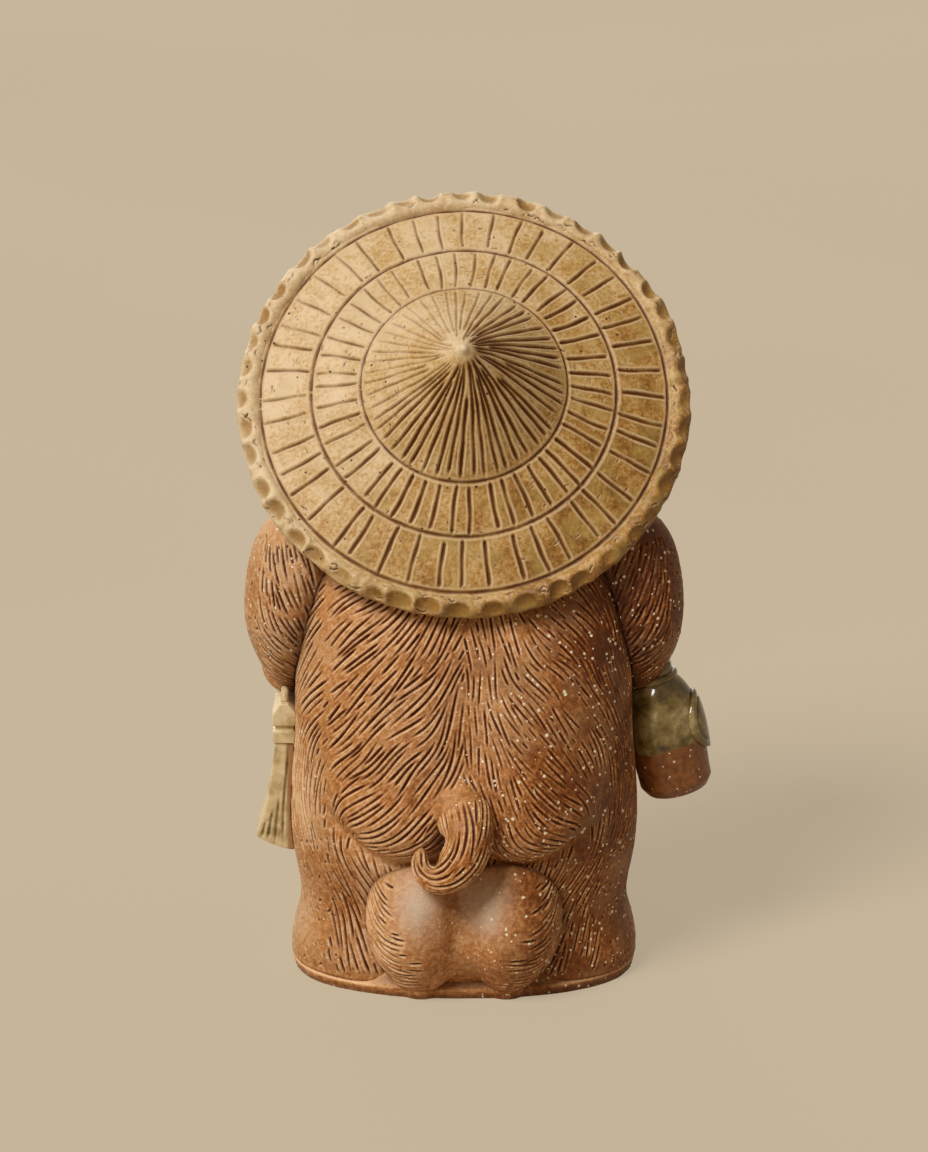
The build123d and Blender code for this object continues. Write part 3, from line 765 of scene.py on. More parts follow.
def rump_relief(x, z):
    """How far the cheeks swell above the fold, the legs are tucked in below it and the clay rises
    round the tail's root."""
    above = above_fold(x, z)
    swell = CHEEK_SWELL * bell(above - CHEEK_RISE, CHEEK_REACH)
    tuck = FOLD_DEPTH * bell(above + FOLD_DROP, FOLD_REACH)
    fade = blend(abs(x), *CLEFT) * (1 - blend(abs(x), *HIP))
    rise = z - TAIL_ROOT[1]
    rise_reach = np.where(rise > 0, MOUND_REACH[1], MOUND_REACH[2])
    mound = bell(x - TAIL_ROOT[0], MOUND_REACH[0]) * bell(rise, rise_reach)
    return fade * (swell - tuck) + TAIL_MOUND * mound


def fur_lean(x, z):
    """How far the fur leans outward from straight down, by place on the body. Below the fold it leans
    inward, with a sharp change on the rump and a soft one on the flanks."""
    out = abs(x)
    above = above_fold(x, z)
    at_spine, gain, loss, gains_over = FUR_LEAN["left" if x > 0 else "right"]
    lean = at_spine + gain * blend(out, *gains_over) - loss * blend(out, *FLANK)
    on_cheek = bell(above - RUMP_LEAN_UP[0], RUMP_LEAN_UP[1])
    lean += RUMP_LEAN * on_cheek * bell(out - RUMP_LEAN_OUT[0], RUMP_LEAN_OUT[1])
    lean += LEAN_SWAY * math.sin(x / SWAY_SIZE[0] + 2 * math.sin(z / SWAY_SIZE[1]))
    soft = SHARP_TURN + SOFT_TURN * blend(out, *SOFT_FLANK)
    share = blend(above, -soft, soft)
    return math.radians(lean * share - LEAN_BELOW * (1 - share))


def bare_belly(x, z):
    """Whether a place at the front is on the smooth round of the belly."""
    return bell(x, BELLY_REACH[0]) * bell(z - BELLY_HEIGHT, BELLY_REACH[1]) > BELLY_EDGE


def bare_back(x, z):
    """Places on the back without fur: along the fold, round the tail, in a ragged column down the left
    flank and in patches on the right."""
    at_fold = abs(x) < LEG_OUT and BARE_FOLD[0] < above_fold(x, z) < BARE_FOLD[1]
    at_tail = math.hypot(x - TAIL_ROOT[0], z - TAIL_ROOT[1]) < TAIL_BARE
    in_column = BARE_COLUMN[0] < x + wander(z, COLUMN_EDGE) < BARE_COLUMN[1]
    a, b, c, d = BARE_PATCH_WAVES
    patch = math.sin(x / a + math.sin(z / b)) * math.sin(z / c - x / d)
    return at_fold or at_tail or in_column or x < -BARE_PATCHES and patch > BARE_PATCH_EDGE


def body_flow(side):
    """Fur on one side of the spine: down and outward, with bare clay on the belly, on parts of the back
    and on the outer legs."""

    def flow(place, normal):
        x, y, z = place
        if x * side < 0 or normal.x * x + normal.y * y < 0 or z < FUR_LOWEST:
            return None
        bare = bare_belly(x, z) if y < 0 else bare_back(x, z)
        if bare or abs(x) > LEG_OUT and z < FOLD_LOW + wander(y, HEM):
            return None
        level = UP.cross(normal) * -side
        return slanted(level, fur_lean(x, z))

    return flow


def bare_leg(place, normal):
    """Whether a place is on the smooth clay of the outer legs."""
    outward = normal.x * place.x + normal.y * place.y > 0
    return outward and PITTED_HEIGHTS[0] < place.z < PITTED_HEIGHTS[1] and abs(place.x) > PITTED_LEG


def body_halves():
    """Heights of the body's rows and, for each shell, the angles of its columns and how far its outer
    face stands from the axis."""
    low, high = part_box("body_back_shell")
    count = COARSE * round((high.z - low.z) / BODY_ROW / COARSE) + 1
    heights = np.linspace(low.z, high.z, count)
    cast_heights = np.clip(heights, low.z + CAST_INSET, high.z - CAST_INSET)
    surfaces = {node: surface_of(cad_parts[node].data) for node in SHELLS}
    back = even_angles(surfaces, SEAM, math.pi - SEAM, BACK_COLUMN)
    front = even_angles(surfaces, math.pi + SEAM, 2 * math.pi - SEAM, FRONT_COLUMN)
    both = np.concatenate([back, front[1:-1]])
    reach = smoothed(body_reach(surfaces, both, cast_heights))
    reach += FOOT_BURR * bell(heights - low.z - FOOT_BURR_UP[0], FOOT_BURR_UP[1])[:, None]
    rear = reach[:, : len(back)]
    rear += rump_relief(rear * np.cos(back), heights[:, None])
    fore = np.hstack([reach[:, len(back) - 1 :], reach[:, :1]])
    return heights, {"body_back_shell": (back, rear), "body_front_shell": (front, fore)}


def shade_hollow_and_darken_leg(mesh):
    """Paints shade in the hollow inside the tail's curl, and darkens the left leg towards the floor."""
    points = points_of(mesh)
    across, height = points[:, 0], points[:, 2]
    hollow = HOLLOW_SHADE * bell(across - TAIL_HOLLOW[0], HOLLOW_REACH[0])
    hollow *= bell(height - TAIL_HOLLOW[1], HOLLOW_REACH[1]) * (points[:, 1] > 0)
    low_left_dark = LEFT_LEG_DARK * blend(across, *LEFT_LEG_DARK_ACROSS) * blend(height, *LEFT_LEG_DARK_UP)
    darken(mesh, np.maximum(hollow, low_left_dark))


def navel_line():
    turns = np.arange(0, 2 * math.pi, NAVEL_TURN)
    return [(NAVEL_RADIUS * math.cos(t), NAVEL_HEIGHT + NAVEL_RADIUS * math.sin(t)) for t in turns]


def body(finish):
    """The two shells of the body, furred on both sides of the spine."""
    heights, halves = body_halves()
    for part, (node, (angles, reach)) in enumerate(halves.items()):
        mesh = half_shell(node, angles, heights, reach)
        uneven(mesh, *BODY_UNEVEN, 5)
        piece = new_piece(node, mesh, finish)
        for i, (name, side) in enumerate(SIDES.items()):
            seed = 4 * i + part
            strokes = comb(piece, body_flow(side), seed, **BODY_FUR[name])
            score(piece, strokes, *BODY_CUT[name], seed=2 + seed)
        pit(piece, bare_leg, 10 + part)
        # Painted shade in the joints with the arms and the bag, and in the tail's hollow
        shade_joints(mesh, ["left_arm", "right_arm", *BAGS])
        shade_hollow_and_darken_leg(mesh)
        if node == "body_front_shell":
            score(piece, cast_lines(piece, [navel_line()]), *NAVEL_CUT, fade=NAVEL_FADE)


# Pieces luted to the body


def arm_flow(side):
    """Fur down an arm, which leans inward more and more, with its outer side bare."""

    def flow(place, normal):
        if normal.x * side > ARM_BARE or place.z > ARM_FUR_TOP:
            return None
        lean = ARM_LEAN[0] + ARM_LEAN[1] * blend(place.z, *ARM_LEAN_UP)
        return slanted(Vector((-side, 0, 0)), math.radians(lean))

    return flow


def tail_flow(place, _):
    """Along the tail, by the stretches of its middle line that are near, from below its root."""
    if place.z > TAIL_FUR_TOP:
        return None
    way = Vector()
    for start, end in zip(TAIL_LINE, TAIL_LINE[1:]):
        away = ((start + end) / 2 - place).length
        way += (end - start).normalized() * math.exp(-away / TAIL_NEAR)
    return way


def bag_flow(place, normal):
    """Fur on the outer sides of the bag, in arcs that sag towards its middle."""
    x, _, z = place
    inner = BAG_BARE + BAG_BARE_MORE * blend(z, *BAG_BARE_UP) + wander(z, BAG_EDGE)
    if abs(x) < inner or not BAG_FUR_UP[0] < z < BAG_FUR_UP[1]:
        return None
    lean = BAG_LEAN[0] + BAG_LEAN[1] * blend(abs(x), *BAG_LEAN_OUT)
    level = UP.cross(normal) * math.copysign(1, x)
    return slanted(level, math.radians(lean))


def head_flow(place, _):
    """Fur that runs up from the brows and down over the jowls, with a smooth face between."""
    across = math.copysign(1, place.x)
    if place.z > BROW and place.y < BROW_BACK:
        return slanted(Vector((across, 0, 0)), BROW_LEAN - abs(place.x) * BROW_FAN)
    if abs(place.x) < JOWL_OUT or place.z > JOWL_TOP:
        return None
    return slanted(Vector((across, JOWL_SWEEP, 0)), JOWL_LEAN)


def clay_piece(node, finish, voxel, seed, flow=None, on=(), easing=EASING, fade=FUR_FADE, **strokes):
    """A piece of bare clay luted on to others, dented and, where flow is given, scored with fur."""
    mesh = fine_copy(node, voxel, easing)
    luted(mesh, on)
    uneven(mesh, *LUTED_UNEVEN, seed)
    piece = new_piece(node, mesh, finish)
    if flow:
        score(piece, comb(piece, flow, seed, **strokes), fade=fade)
    return piece


def limbs(finish):
    """Arms with their paws, and feet."""
    for seed, (name, side) in enumerate(SIDES.items()):
        arm = clay_piece(f"{name}_arm", finish, PIECE_VOXEL, 20 + seed, arm_flow(side), **ARM_FUR)
        pit(arm, lambda place, normal: normal.x * side > ARM_PITS, 25 + seed)
        # Painted shade over the arm near the body, and of the hat all over it
        shade_joints(arm.data, SHELLS, ARM_SHADE_REACH)
        darken(arm.data, ARM_SHADE)
        paw = clay_piece(f"{name}_paw", finish, PIECE_VOXEL, 30 + seed, on=[f"{name}_arm"])
        score(paw, cast_lines(paw, finger_lines(f"{name}_paw")))
        ground = ["base_slab", "body_front_shell"]
        foot = clay_piece(f"{name}_foot", finish, FOOT_VOXEL, 40 + seed, on=ground)
        pit(foot, lambda place, normal: normal.z > FOOT_PITS, 45 + seed)


def tail(finish):
    """The curled tail, with its root sunk into the swelling of the rump."""
    piece = clay_piece("tail", finish, TAIL_VOXEL, 60, tail_flow, ["body_back_shell"], **TAIL_FUR)
    # Painted shade where the tail meets the bag
    shade_joints(piece.data, ["money_bag_rear"])
    points = points_of(piece.data)
    points[:, 1] -= TAIL_SINK * blend(points[:, 2], *TAIL_SINK_UP)
    set_points(piece.data, points)


def inside_edge(points):
    """How far the slab's points lie inside its rear edge, found in strips."""
    across = np.arange(-SLAB_STRIPS, SLAB_STRIPS + 1) * STRIP
    in_strip = np.abs(points[:, :1] - across) < STRIP / 2
    edge = np.interp(points[:, 0], across, np.max(points[:, 1:2] * in_strip, axis=0))
    return edge - points[:, 1]


def base(finish):
    """The slab: drawn out a little and smeared up round the bag, with its upper edge rubbed pale, painted
    shade where it meets the bag, and its lower edge darkened with painted shade and drawn in."""
    mesh = clay_piece("base_slab", finish, SLAB_VOXEL, 82, easing=SLAB_EASING).data
    points = points_of(mesh)
    normals = normals_of(mesh)
    rise = points[:, 2] / SLAB_TOP
    below_bag = 1 - blend(np.abs(points[:, 0]), *BELOW_BAG)
    inside = inside_edge(points)
    rubbed = 1 - below_bag * blend(inside, -RUBBED_EDGE, RUBBED_EDGE)
    set_attribute(mesh, "ridge", blend(rise, *RUBBED_RISE) * rubbed)
    # Painted shade on the slab where it meets the bag, and on its side at the floor
    corner_shade = SLAB_CORNER_SHADE * below_bag * blend(inside, *CORNER_SHADE_INSIDE) * blend(rise, *CORNER_SHADE_RISE)
    side_shade = SLAB_SIDE_SHADE * (1 - blend(rise, *SIDE_SHADE_RISE))
    darken(mesh, np.maximum(corner_shade, side_shade))
    smear = SLAB_SMEAR * below_bag * blend(inside, 0, SMEAR_REACH) * (points[:, 1] > SMEAR_FROM)
    points[:, 2] += smear * (normals[:, 2] > FACES_UP)
    points[:, 1] += SLAB_LEDGE * below_bag * (normals[:, 1] > FACES_BACK)
    set_points(mesh, points - normals * (1, 1, 0) * (SLAB_UNDERCUT * (1 - rise))[:, None])


def finger_lines(node):
    """Three lines that part a paw's fingers."""
    low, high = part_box(node)
    tall = high.z - low.z
    wide = high.x - low.x
    heights = np.arange(low.z + FINGER_SPAN[0] * tall, low.z + FINGER_SPAN[1] * tall, STEP)
    return [[(low.x + share * wide, z) for z in heights] for share in FINGER_GAPS]


def money_bag(finish):
    """The two-lobed bag, rear and front, with ash and a painted highlight on top, painted shade in its
    joints, and pressed into the slab.
    """
    for seed, node in enumerate(BAGS):
        piece = clay_piece(
            node,
            finish,
            PIECE_VOXEL,
            70 + seed,
            bag_flow,
            SHELLS,
            easing=BAG_EASING,
            fade=BAG_FADE,
            **BAG_FUR,
        )
        # Painted shade where the bag meets the body and the tail
        shade_joints(piece.data, [*SHELLS, "tail"])
        points = points_of(piece.data)
        # Ash on top of each lobe, which also serves as its painted highlight
        ash = bell(np.abs(points[:, 0] - ASH_HIGHLIGHT_DRIFT) - ASH_HIGHLIGHT_SPREAD, ASH_HIGHLIGHT_REACH[0])
        ash *= bell(points[:, 2] - ASH_HIGHLIGHT_HEIGHT, ASH_HIGHLIGHT_REACH[1])
        patches = ASH_HIGHLIGHT_COVER + ASH_HIGHLIGHT_PATCHES * waves(points, ASH_HIGHLIGHT_PATCH, 72)
        set_attribute(piece.data, "ash", ash * patches)
        points[:, 1] *= 1 - VALLEY * bell(points[:, 0], VALLEY_REACH)
        points[:, 2] -= BAG_PRESS * (1 - blend(points[:, 2], SLAB_TOP, PRESS_TOP))
        set_points(piece.data, points)


def eye_patch(points, side):
    """The dark mark round an eye, which slopes down and outward: 1 inside it and 0 outside."""
    across = points[:, 0] * side - EYE_SPREAD - EYE_PATCH_PLACE[0]
    up = points[:, 2] - EYE_HEIGHT - EYE_PATCH_PLACE[1]
    along = across * math.cos(EYE_PATCH_SLOPE) - up * math.sin(EYE_PATCH_SLOPE)
    square = across * math.sin(EYE_PATCH_SLOPE) + up * math.cos(EYE_PATCH_SLOPE)
    away = np.hypot(along / EYE_PATCH_SIZE[0], square / EYE_PATCH_SIZE[1])
    return np.where(points[:, 1] < FACE_FRONT, 1 - blend(away, *EYE_PATCH_RIM), 0)


def lid_lines():
    """The upper lid of each eye."""
    turns = np.arange(LID_END, math.pi - LID_END, LID_TURN)
    wide, high = LID_SIZE
    return [
        [(side * EYE_SPREAD + wide * math.cos(t), EYE_HEIGHT + high * math.sin(t)) for t in turns]
        for side in SIDES.values()
    ]


def mouth_lines():
    """The mouth, the line up to the nose, and the pits that whiskers grow from."""
    across = np.arange(-MOUTH_HALF_WIDTH, MOUTH_HALF_WIDTH, STEP)
    smile = [(x, MOUTH_HEIGHT + MOUTH_CURL * (x / MOUTH_HALF_WIDTH) ** 2) for x in across]
    lip = [(0, z) for z in np.arange(MOUTH_HEIGHT, MOUTH_HEIGHT + LIP_HEIGHT, STEP)]
    lines = [smile, lip]
    for side in SIDES.values():
        for x, z in WHISKERS:
            lines.append([(side * x, z), (side * (x + STEP), z), (side * (x + 2 * STEP), z)])
    return lines


def head(finish):
    """The hollow head with its dark eye patches and lids, the muzzle with its mouth, and the ears."""
    shell = clay_piece("head_shell", finish, HEAD_VOXEL, 80, head_flow, tries=HEAD_TRIES)
    points = points_of(shell.data)
    darken(shell.data, sum(eye_patch(points, side) for side in SIDES.values()))
    score(shell, cast_lines(shell, lid_lines()), *LID_CUT)
    muzzle = clay_piece("muzzle", finish, PIECE_VOXEL, 81, on=["head_shell"])
    score(muzzle, cast_lines(muzzle, mouth_lines()), *MOUTH_CUT)
    for seed, name in enumerate(SIDES):
        clay_piece(f"{name}_ear", finish, PIECE_VOXEL, 50 + seed, on=["head_shell"])


def face_beads(finish):
    """The nose and eyes: small balls of clay dipped in iron glaze."""
    for node in ("nose", "left_eye", "right_eye"):
        new_piece(node, fine_copy(node, BEAD_VOXEL), finish)


# Straw hat


def hat_points(radius, angle, height):
    """Places in the hat's own frame, by radius, angle round its axis and height along it."""
    radius, angle, height = np.broadcast_arrays(radius, angle, height)
    across = (radius * np.cos(angle))[..., None] * HAT_LEFT
    down = (radius * np.sin(angle))[..., None] * HAT_DOWN
    return HAT_CENTRE + across + down + height[..., None] * HAT_AXIS


def hat_height(radius):
    """Height of the hat's upper face: a steep crown that eases out into the brim."""
    crown = HAT_PEAK - (HAT_PEAK - CROWN_RISE) * radius / CROWN_RADIUS
    slope = (CROWN_RISE - BRIM_RISE) / (BRIM_RADIUS - CROWN_RADIUS)
    brim = CROWN_RISE - slope * (radius - CROWN_RADIUS)
    higher = np.maximum(crown, brim)
    return higher + BRIM_EASE * np.log1p(np.exp(-np.abs(crown - brim) / BRIM_EASE))


def hat_line(radii, angles):
    return [Vector(point) for point in hat_points(radii, angles, hat_height(radii))]


def hat_straws(source):
    """Scored lines that run down the hat in three bands, unevenly as drawn by hand, and how deep."""
    lines, weights = [], []
    for count, first, last, ragged, light in HAT_BANDS:
        for i in range(count):
            middle = 2 * math.pi * (i + source.uniform(-STRAW_SHIFT, STRAW_SHIFT)) / count
            start = first + ragged * source.uniform(0, 1) ** 2
            radii = np.arange(start, last + source.uniform(*STRAW_END), STEP)
            bow = source.uniform(-STRAW_BOW, STRAW_BOW) * np.linspace(-1, 1, len(radii)) ** 2
            wobble = STRAW_WOBBLE * np.sin(radii / WOBBLE_LENGTH + source.uniform(*WAVE_START))
            swirl = PEAK_SWIRL * np.exp(-radii / SWIRL_REACH)
            lines.append(hat_line(radii, middle + swirl + (bow + wobble) / radii))
            deep = blend(math.cos(middle - DEEP_SIDE), *DEEP_SPREAD)
            weights.append(source.uniform(*STRAW_FORCE) * (light + (DEEPEST - light) * deep))
    return lines, weights


def hat_nicks(source):
    """Short scratches that run round the hat."""
    lines = []
    for _ in range(NICKS):
        radius = source.uniform(*NICK_RADII)
        start = source.uniform(0, 2 * math.pi)
        turn = start + np.arange(0, source.uniform(*NICK_LENGTH), STEP) / radius
        stray = source.uniform(-NICK_STRAY, NICK_STRAY)
        lines.append(hat_line(radius + np.linspace(0, stray, len(turn)), turn))
    return lines


def hat_rings():
    """The three scored rings that the straws run between."""
    rings = []
    for radius in HAT_RINGS:
        turn = np.arange(0, RING_TURN, STEP / radius)
        rings.append(hat_line(np.full(len(turn), radius), turn))
    return rings


def cone_mesh():
    """The hat's upper face with its knob, a coarse face below it and the wall's edge between."""
    rows = round(BRIM_RADIUS / HAT_ROW)
    radii = np.linspace(PEAK_RING, BRIM_RADIUS, rows)
    angles = np.linspace(0, 2 * math.pi, HAT_COLUMNS, endpoint=False)
    knob = HAT_PEAK - KNOB_SINK + np.sqrt(np.maximum(PEAK_KNOB**2 - radii**2, 0))
    height = hat_height(radii)
    height = np.where(radii < PEAK_KNOB, np.maximum(knob, height), height)
    top = hat_points(radii[:, None], angles, height[:, None]).reshape(-1, 3)
    under_radii = radii[::-COARSE]
    under_height = hat_height(under_radii)[:, None] - HAT_WALL
    under = hat_points(under_radii[:, None], angles[::COARSE], under_height).reshape(-1, 3)
    start = len(top)
    loop = HAT_COLUMNS // COARSE
    faces = grid_faces(rows, HAT_COLUMNS, flip=True, wrap=True)
    faces += grid_faces(len(under_radii), loop, start, flip=True, wrap=True)
    edge = [(rows - 1) * HAT_COLUMNS + j for j in range(HAT_COLUMNS)]
    faces += stitch(edge, [start + j for j in range(loop)])
    faces.append(list(range(HAT_COLUMNS)))
    faces.append([start + (len(under_radii) - 1) * loop + j for j in range(loop)][::-1])
    return mesh_of("hat_cone", np.vstack([top, under]), faces)


def hat_cone(finish):
    """The hat's cone, worn at its peak and scored with straws, scratches and rings."""
    mesh = cone_mesh()
    off_axis = np.linalg.norm(np.cross(points_of(mesh) - HAT_CENTRE, HAT_AXIS), axis=1)
    set_attribute(mesh, "worn", PEAK_WEAR * (1 - blend(off_axis, *PEAK_WEAR_OUT)))
    for depth, size, seed in HAT_UNEVEN:
        uneven(mesh, depth, size, seed)
    piece = new_piece("hat_cone", mesh, finish)
    source = np.random.default_rng(91)
    straws, weights = hat_straws(source)
    score(piece, straws, *STRAW_CUT, fade=STRAW_FADE, weights=weights)
    score(piece, hat_nicks(source), *NICK_CUT, seed=93)
    score(piece, hat_rings(), *RING_CUT, fade=RING_FADE, seed=92)


def thumbed(points, angle, source):
    """Presses a thumb into the rim at an angle round the hat. Gives how each point moves and how
    deep it is pressed."""
    slant = THUMB_SLANT + source.uniform(-SLANT_STRAY, SLANT_STRAY)
    twist = THUMB_TWIST + source.uniform(-TWIST_STRAY, TWIST_STRAY)
    size = THUMB_SIZE * source.uniform(*THUMB_SIZES)
    middle = hat_points(RIM_RADIUS, angle, RIM_RISE)
    away = hat_points(RIM_RADIUS + math.sin(slant), angle, RIM_RISE + math.cos(slant)) - middle
    level = np.cross(away, HAT_AXIS)
    level /= np.linalg.norm(level)
    upright = np.cross(away, level)
    along = level * math.cos(twist) + upright * math.sin(twist)
    across = upright * math.cos(twist) - level * math.sin(twist)
    bottom = RIM_ROLL - THUMB_DEPTH * source.uniform(*THUMB_DEPTHS)
    offset = points - middle
    out = np.hypot(offset @ along / size[0], offset @ across / size[1])
    height = offset @ away
    dent = bottom + size[2] * (1 - np.sqrt(np.maximum(1 - out * out, 0)))
    push = np.where((out < 1) & (height > 0), np.maximum(height - dent, 0), 0)
    lip = THUMB_LIP * bell(out - THUMB_LIP_PLACE[0], THUMB_LIP_PLACE[1])
    return away * (np.where(height > 0, lip, 0) - push)[:, None], push / THUMB_DEPTH


def rim_tears(piece, source):
    """Short cracks torn along the rim across the ridges between dents, as lists of points."""
    surface = surface_of(piece.data)
    lines = []
    for ridge in range(THUMBS):
        for _ in range(TEARS):
            reach = source.uniform(*TEAR_REACH)
            along = np.arange(-reach, reach, STEP)
            middle = 2 * math.pi * (ridge + 0.5 + source.uniform(-TEAR_SHIFT, TEAR_SHIFT)) / THUMBS
            turn = source.uniform(*TEAR_TURN)
            turn += TEAR_WAVER * np.sin(along / WAVER_LENGTH + source.uniform(*WAVE_START))
            radius = RIM_RADIUS + RIM_ROLL * np.cos(turn)
            height = RIM_RISE + RIM_ROLL * np.sin(turn)
            places = hat_points(radius, middle + along / RIM_RADIUS, height)
            lines.append([surface.find_nearest(Vector(place))[0] for place in places])
    return lines


def rim_mesh(source):
    """The rolled rim, dented all round by a thumb, and how deep each of its points is pressed."""
    turn = np.linspace(0, 2 * math.pi, RIM_SECTION, endpoint=False)[:, None]
    angles = np.linspace(0, 2 * math.pi, RIM_COLUMNS, endpoint=False)
    radius = np.maximum(RIM_RADIUS + RIM_ROLL * np.cos(turn), RIM_ROOT)
    points = hat_points(radius, angles, RIM_RISE + RIM_ROLL * np.sin(turn)).reshape(-1, 3)
    dent = np.zeros(len(points))
    for i in range(THUMBS):
        angle = 2 * math.pi * (i + source.uniform(-THUMB_SHIFT, THUMB_SHIFT)) / THUMBS
        move, depth = thumbed(points, angle, source)
        points += move
        dent = np.maximum(dent, depth)
    grid = points.reshape(RIM_SECTION, RIM_COLUMNS, 3)
    for _ in range(SMOOTHING):
        grid = (np.roll(grid, 1, 1) + 2 * grid + np.roll(grid, -1, 1)) / 4
        grid = (np.roll(grid, 1, 0) + 2 * grid + np.roll(grid, -1, 0)) / 4
    faces = grid_faces(RIM_SECTION, RIM_COLUMNS, wrap=True)
    last = (RIM_SECTION - 1) * RIM_COLUMNS
    for j in range(RIM_COLUMNS):
        k = (j + 1) % RIM_COLUMNS
        faces.append([last + j, last + k, k, j])
    return mesh_of("hat_rim", grid.reshape(-1, 3), faces), dent


def hat_rim(finish):
    """The rim: glaze pooled in its dents, worn between them, and torn a little on the ridges."""
    source = np.random.default_rng(95)
    mesh, dent = rim_mesh(source)
    for depth, size, seed in RIM_UNEVEN:
        uneven(mesh, depth, size, seed)
    set_attribute(mesh, "dent", DENT_POOL * np.clip(dent, 0, 1))
    set_attribute(mesh, "worn", RIM_WEAR * (1 - np.clip(2 * dent, 0, 1)))
    piece = new_piece("hat_rim", mesh, finish)
    score(piece, rim_tears(piece, source), *TEAR_CUT, seed=98)


# Flask and book


def flask(finish):
    """The flask with its coil and disc, glazed down to a wandering line above its foot."""
    axis = np.array((math.sin(FLASK_LEAN), 0, math.cos(FLASK_LEAN)))
    foot = (points_of(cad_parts["flask_body"].data) @ axis).min()
    for seed, node in enumerate(("flask_body", "flask_cord", "flask_medallion")):
        mesh = fine_copy(node, GLAZED_VOXEL)
        uneven(mesh, *FLASK_UNEVEN, 100 + seed)
        points = points_of(mesh)
        line = GLAZE_LINE + GLAZE_RUN * waves(points, GLAZE_WAVE, 103)
        glaze = blend(points @ axis - foot, line - GLAZE_EDGE, line + GLAZE_EDGE)
        set_attribute(mesh, "glaze", glaze if node == "flask_body" else np.ones(len(points)))
        new_piece(node, mesh, finish)


def leaf_gaps(piece):
    """Lines down both edges of the book where one leaf parts from the next."""
    low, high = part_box("book_pages")
    surface = surface_of(piece.data)
    lines = []
    for y in (low.y, high.y):
        inset = y + math.copysign(MM, (low.y + high.y) / 2 - y)
        for share, up in LEAF_GAPS:
            line = []
            for z in np.arange(low.z + MM, low.z + up * (high.z - low.z), STEP):
                inner = surface.ray_cast(Vector((0, inset, z)), Vector((1, 0, 0)))[0]
                outer = surface.ray_cast(Vector((2 * high.x, inset, z)), Vector((-1, 0, 0)))[0]
                if inner and outer:
                    line.append(Vector((inner.x + share * (outer.x - inner.x), y, z)))
            lines.append(line)
    return lines


def book(finish):
    """The account book: leaves that part at their edges, with one corner swept up, and its binding."""
    for seed, node in enumerate(("book_pages", "book_binding", "book_loop")):
        mesh = fine_copy(node, GLAZED_VOXEL)
        uneven(mesh, *BOOK_UNEVEN, 110 + seed)
        piece = new_piece(node, mesh, finish)
        if node == "book_pages":
            score(piece, leaf_gaps(piece), *LEAF_CUT)
            low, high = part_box(node)
            points = points_of(mesh)
            out = (points[:, 0] - low.x) / (high.x - low.x)
            darken(mesh, 1 - blend(out, *INNER_LEAF))
            lower = 1 - blend(points[:, 2], low.z, (low.z + high.z) / 2)
            points[:, 2] += BOOK_SWEEP * out**2 * lower
            set_points(mesh, points)


# Materials


def linear(code):
    """Linear colour of an sRGB hex value."""
    parts = [int(code[i : i + 2], 16) / 255 for i in (1, 3, 5)]
    return (*(p / 12.92 if p <= 0.04045 else ((p + 0.055) / 1.055) ** 2.4 for p in parts), 1.0)


def per(size_mm):
    """Texture scale whose features are about this many millimetres wide."""
    return 1 / (size_mm * MM)


def add(tree, kind, inputs=None, ramp=(), **settings):
    """Adds a node with its settings, and sets or links its inputs."""
    made = tree.nodes.new("ShaderNode" + kind)
    for name, value in settings.items():
        setattr(made, name, value)
    for name, value in (inputs or {}).items():
        open_sockets = [s for s in made.inputs if s.enabled]
        if isinstance(name, int):
            socket = open_sockets[name]
        else:
            socket = next(s for s in open_sockets if s.name == name)
        if isinstance(value, bpy.types.Node):
            value = next(s for s in value.outputs if s.enabled)
        if isinstance(value, bpy.types.NodeSocket):
            tree.links.new(value, socket)
        else:
            socket.default_value = value
    for i, (place, code) in enumerate(ramp):
        stops = made.color_ramp.elements
        stop = stops[i] if i < 2 else stops.new(place)
        stop.position = place
        stop.color = linear(code)
    return made


def new_material(name):
    material = bpy.data.materials.new(name)
    material.use_nodes = True
    tree = material.node_tree
    tree.nodes.clear()
    return material, tree, add(tree, "TexCoord").outputs["Object"]


def facing_ash_and_light(tree):
    """How squarely the surface faces the way that ash came from, from which light is also painted."""
    normal = add(tree, "NewGeometry").outputs["Normal"]
    return add(tree, "VectorMath", {0: normal, 1: ASH_AND_LIGHT_WAY}, operation="DOT_PRODUCT").outputs["Value"]


